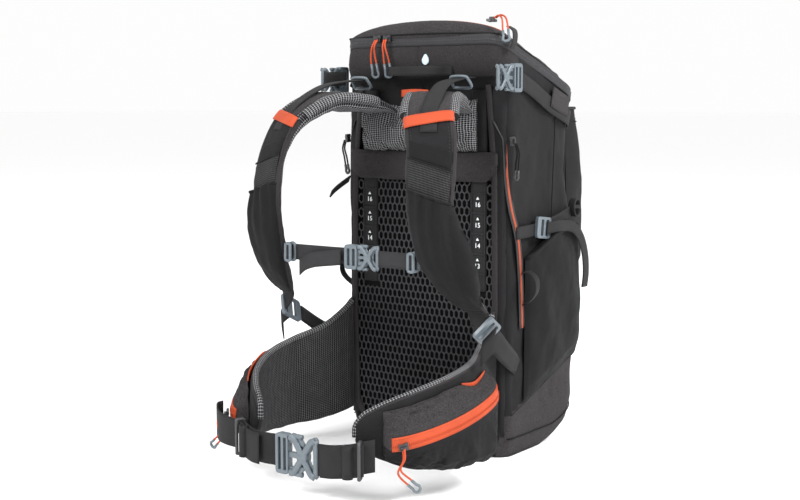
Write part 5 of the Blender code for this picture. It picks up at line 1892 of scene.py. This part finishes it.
# ---- the stage ----------------------------------------------------------------------------------
def area_light(name, place, goal, size, power, tint=(1, 1, 1)):
    data = bpy.data.lights.new(name, "AREA")
    data.shape = "RECTANGLE"
    data.size, data.size_y = size
    data.energy = power
    data.color = tint
    lamp = bpy.data.objects.new(name, data)
    lamp.location = place
    lamp.rotation_euler = (Vector(goal) - Vector(place)).to_track_quat("-Z", "Y").to_euler()
    bpy.context.scene.collection.objects.link(lamp)


def make_stage():
    size = 60.0
    floor = make("studio_floor", [(-size, -size, -0.0005), (size, -size, -0.0005), (size, size, -0.0005),
                                  (-size, size, -0.0005)], [(0, 1, 2, 3)], ["floor"])
    world = bpy.data.worlds.new("studio")
    world.use_nodes = True
    world.node_tree.nodes["Background"].inputs["Color"].default_value = (1.0, 1.0, 1.0, 1.0)
    world.node_tree.nodes["Background"].inputs["Strength"].default_value = 0.985
    bpy.context.scene.world = world
    bpy.context.scene.view_settings.view_transform = "Standard"
    centre = (0, 0, 0.28)
    area_light("key", (-0.5, -2.2, 2.0), centre, (1.0, 1.0), 70)
    area_light("fill", (2.2, -1.3, 1.0), centre, (1.0, 1.6), 22)
    area_light("edge", (1.9, 0.5, 2.0), centre, (0.7, 0.7), 75)
    data = bpy.data.cameras.new("camera")
    data.lens = 58.3
    data.sensor_width = 36
    camera = bpy.data.objects.new("camera", data)
    camera.location = (0.976, -1.367 + BACK, 0.452)
    camera.rotation_euler = (math.radians(83.57), 0, math.radians(36.5))
    bpy.context.scene.collection.objects.link(camera)
    bpy.context.scene.camera = camera


# ---- operators ----------------------------------------------------------------------------------
class DAYPACK_OT_stage(bpy.types.Operator):
    """Makes the floor, the lights and the camera"""

    bl_idname = "daypack.stage"
    bl_label = "Stage"
    bl_options = {"REGISTER", "UNDO"}

    def execute(self, context):
        make_stage()
        return {"FINISHED"}


class DAYPACK_OT_hardware(bpy.types.Operator):
    """Finishes the buckles, locks and sliders, and opens the buckles' sockets"""

    bl_idname = "daypack.hardware"
    bl_label = "Hardware"
    bl_options = {"REGISTER", "UNDO"}

    def execute(self, context):
        dress_hardware()
        make_buckles()
        return {"FINISHED"}


class DAYPACK_OT_bag(bpy.types.Operator):
    """Makes the bag's shell, base, seams and piping, and prints the plain drop"""

    bl_idname = "daypack.bag"
    bl_label = "Bag"
    bl_options = {"REGISTER", "UNDO"}

    def execute(self, context):
        make_bag()
        drop_mark()
        return {"FINISHED"}


class DAYPACK_OT_lid(bpy.types.Operator):
    """Makes the lid with its pocket zip"""

    bl_idname = "daypack.lid"
    bl_label = "Lid"
    bl_options = {"REGISTER", "UNDO"}

    def execute(self, context):
        make_lid()
        return {"FINISHED"}


class DAYPACK_OT_zips(bpy.types.Operator):
    """Makes the main and side zips and their pulls"""

    bl_idname = "daypack.zips"
    bl_label = "Zips"
    bl_options = {"REGISTER", "UNDO"}

    def execute(self, context):
        make_zips()
        return {"FINISHED"}


class DAYPACK_OT_back(bpy.types.Operator):
    """Makes the open back mesh and the size ladder"""

    bl_idname = "daypack.back"
    bl_label = "Back mesh"
    bl_options = {"REGISTER", "UNDO"}

    def execute(self, context):
        make_back()
        return {"FINISHED"}


class DAYPACK_OT_yoke(bpy.types.Operator):
    """Makes the yoke's band and cushion, and the haul loop"""

    bl_idname = "daypack.yoke"
    bl_label = "Yoke"
    bl_options = {"REGISTER", "UNDO"}

    def execute(self, context):
        make_yoke()
        make_haul_loop()
        return {"FINISHED"}


class DAYPACK_OT_straps(bpy.types.Operator):
    """Makes the padded straps and their pockets"""

    bl_idname = "daypack.straps"
    bl_label = "Shoulder straps"
    bl_options = {"REGISTER", "UNDO"}

    def execute(self, context):
        for side, sign in SIDES:
            make_strap(side, sign)
        return {"FINISHED"}


class DAYPACK_OT_strap_webbing(bpy.types.Operator):
    """Makes the webbing over and below the straps"""

    bl_idname = "daypack.strap_webbing"
    bl_label = "Strap webbing"
    bl_options = {"REGISTER", "UNDO"}

    def execute(self, context):
        make_lifters()
        make_strap_tails()
        return {"FINISHED"}


class DAYPACK_OT_sternum(bpy.types.Operator):
    """Makes the chest webbing"""

    bl_idname = "daypack.sternum"
    bl_label = "Sternum strap"
    bl_options = {"REGISTER", "UNDO"}

    def execute(self, context):
        make_sternum()
        return {"FINISHED"}


class DAYPACK_OT_wings(bpy.types.Operator):
    """Makes the padded wings of the hip belt"""

    bl_idname = "daypack.wings"
    bl_label = "Hip wings"
    bl_options = {"REGISTER", "UNDO"}

    def execute(self, context):
        for side, sign in SIDES:
            make_wing(side, sign)
        return {"FINISHED"}


class DAYPACK_OT_hip_pockets(bpy.types.Operator):
    """Makes the zipped hip pockets"""

    bl_idname = "daypack.hip_pockets"
    bl_label = "Hip pockets"
    bl_options = {"REGISTER", "UNDO"}

    def execute(self, context):
        for side, sign in SIDES:
            make_hip_pocket(side, sign)
        return {"FINISHED"}


class DAYPACK_OT_belt(bpy.types.Operator):
    """Makes the hip belt's webbing and keepers"""

    bl_idname = "daypack.belt"
    bl_label = "Belt webbing"
    bl_options = {"REGISTER", "UNDO"}

    def execute(self, context):
        make_hip_webbing()
        return {"FINISHED"}


class DAYPACK_OT_side_pockets(bpy.types.Operator):
    """Makes the stretch side pockets"""

    bl_idname = "daypack.side_pockets"
    bl_label = "Side pockets"
    bl_options = {"REGISTER", "UNDO"}

    def execute(self, context):
        for side, sign in SIDES:
            make_side_pocket(side, sign)
        return {"FINISHED"}


class DAYPACK_OT_front_pocket(bpy.types.Operator):
    """Makes the stretch front pocket"""

    bl_idname = "daypack.front_pocket"
    bl_label = "Front pocket"
    bl_options = {"REGISTER", "UNDO"}

    def execute(self, context):
        make_front_pocket()
        return {"FINISHED"}


class DAYPACK_OT_side_webbing(bpy.types.Operator):
    """Makes the compression straps"""

    bl_idname = "daypack.side_webbing"
    bl_label = "Side webbing"
    bl_options = {"REGISTER", "UNDO"}

    def execute(self, context):
        make_side_webbing()
        return {"FINISHED"}


STEPS = (
    DAYPACK_OT_stage,
    DAYPACK_OT_hardware,
    DAYPACK_OT_bag,
    DAYPACK_OT_lid,
    DAYPACK_OT_zips,
    DAYPACK_OT_back,
    DAYPACK_OT_yoke,
    DAYPACK_OT_straps,
    DAYPACK_OT_strap_webbing,
    DAYPACK_OT_sternum,
    DAYPACK_OT_wings,
    DAYPACK_OT_hip_pockets,
    DAYPACK_OT_belt,
    DAYPACK_OT_side_pockets,
    DAYPACK_OT_front_pocket,
    DAYPACK_OT_side_webbing,
)


class DAYPACK_PT_panel(bpy.types.Panel):
    """Lists the daypack's pieces."""

    bl_idname = "DAYPACK_PT_panel"
    bl_label = "Daypack"
    bl_space_type = "VIEW_3D"
    bl_region_type = "UI"
    bl_category = "Daypack"

    def draw(self, context):
        for settings in (context.scene.daypack_look, context.scene.daypack_sizes):
            for name in settings.__annotations__:
                self.layout.prop(settings, name)
        for step in STEPS:
            self.layout.operator(step.bl_idname)


CLASSES = (DaypackLook, DaypackSizes, *STEPS, DAYPACK_PT_panel)


def register():
    for made in CLASSES:
        bpy.utils.register_class(made)
    bpy.types.Scene.daypack_look = PointerProperty(type=DaypackLook)
    bpy.types.Scene.daypack_sizes = PointerProperty(type=DaypackSizes)


def unregister():
    del bpy.types.Scene.daypack_sizes
    del bpy.types.Scene.daypack_look
    for made in reversed(CLASSES):
        bpy.utils.unregister_class(made)


def main():
    register()
    for step in STEPS:
        group, name = step.bl_idname.split(".")
        getattr(getattr(bpy.ops, group), name)()


if __name__ == "__main__":
    main()
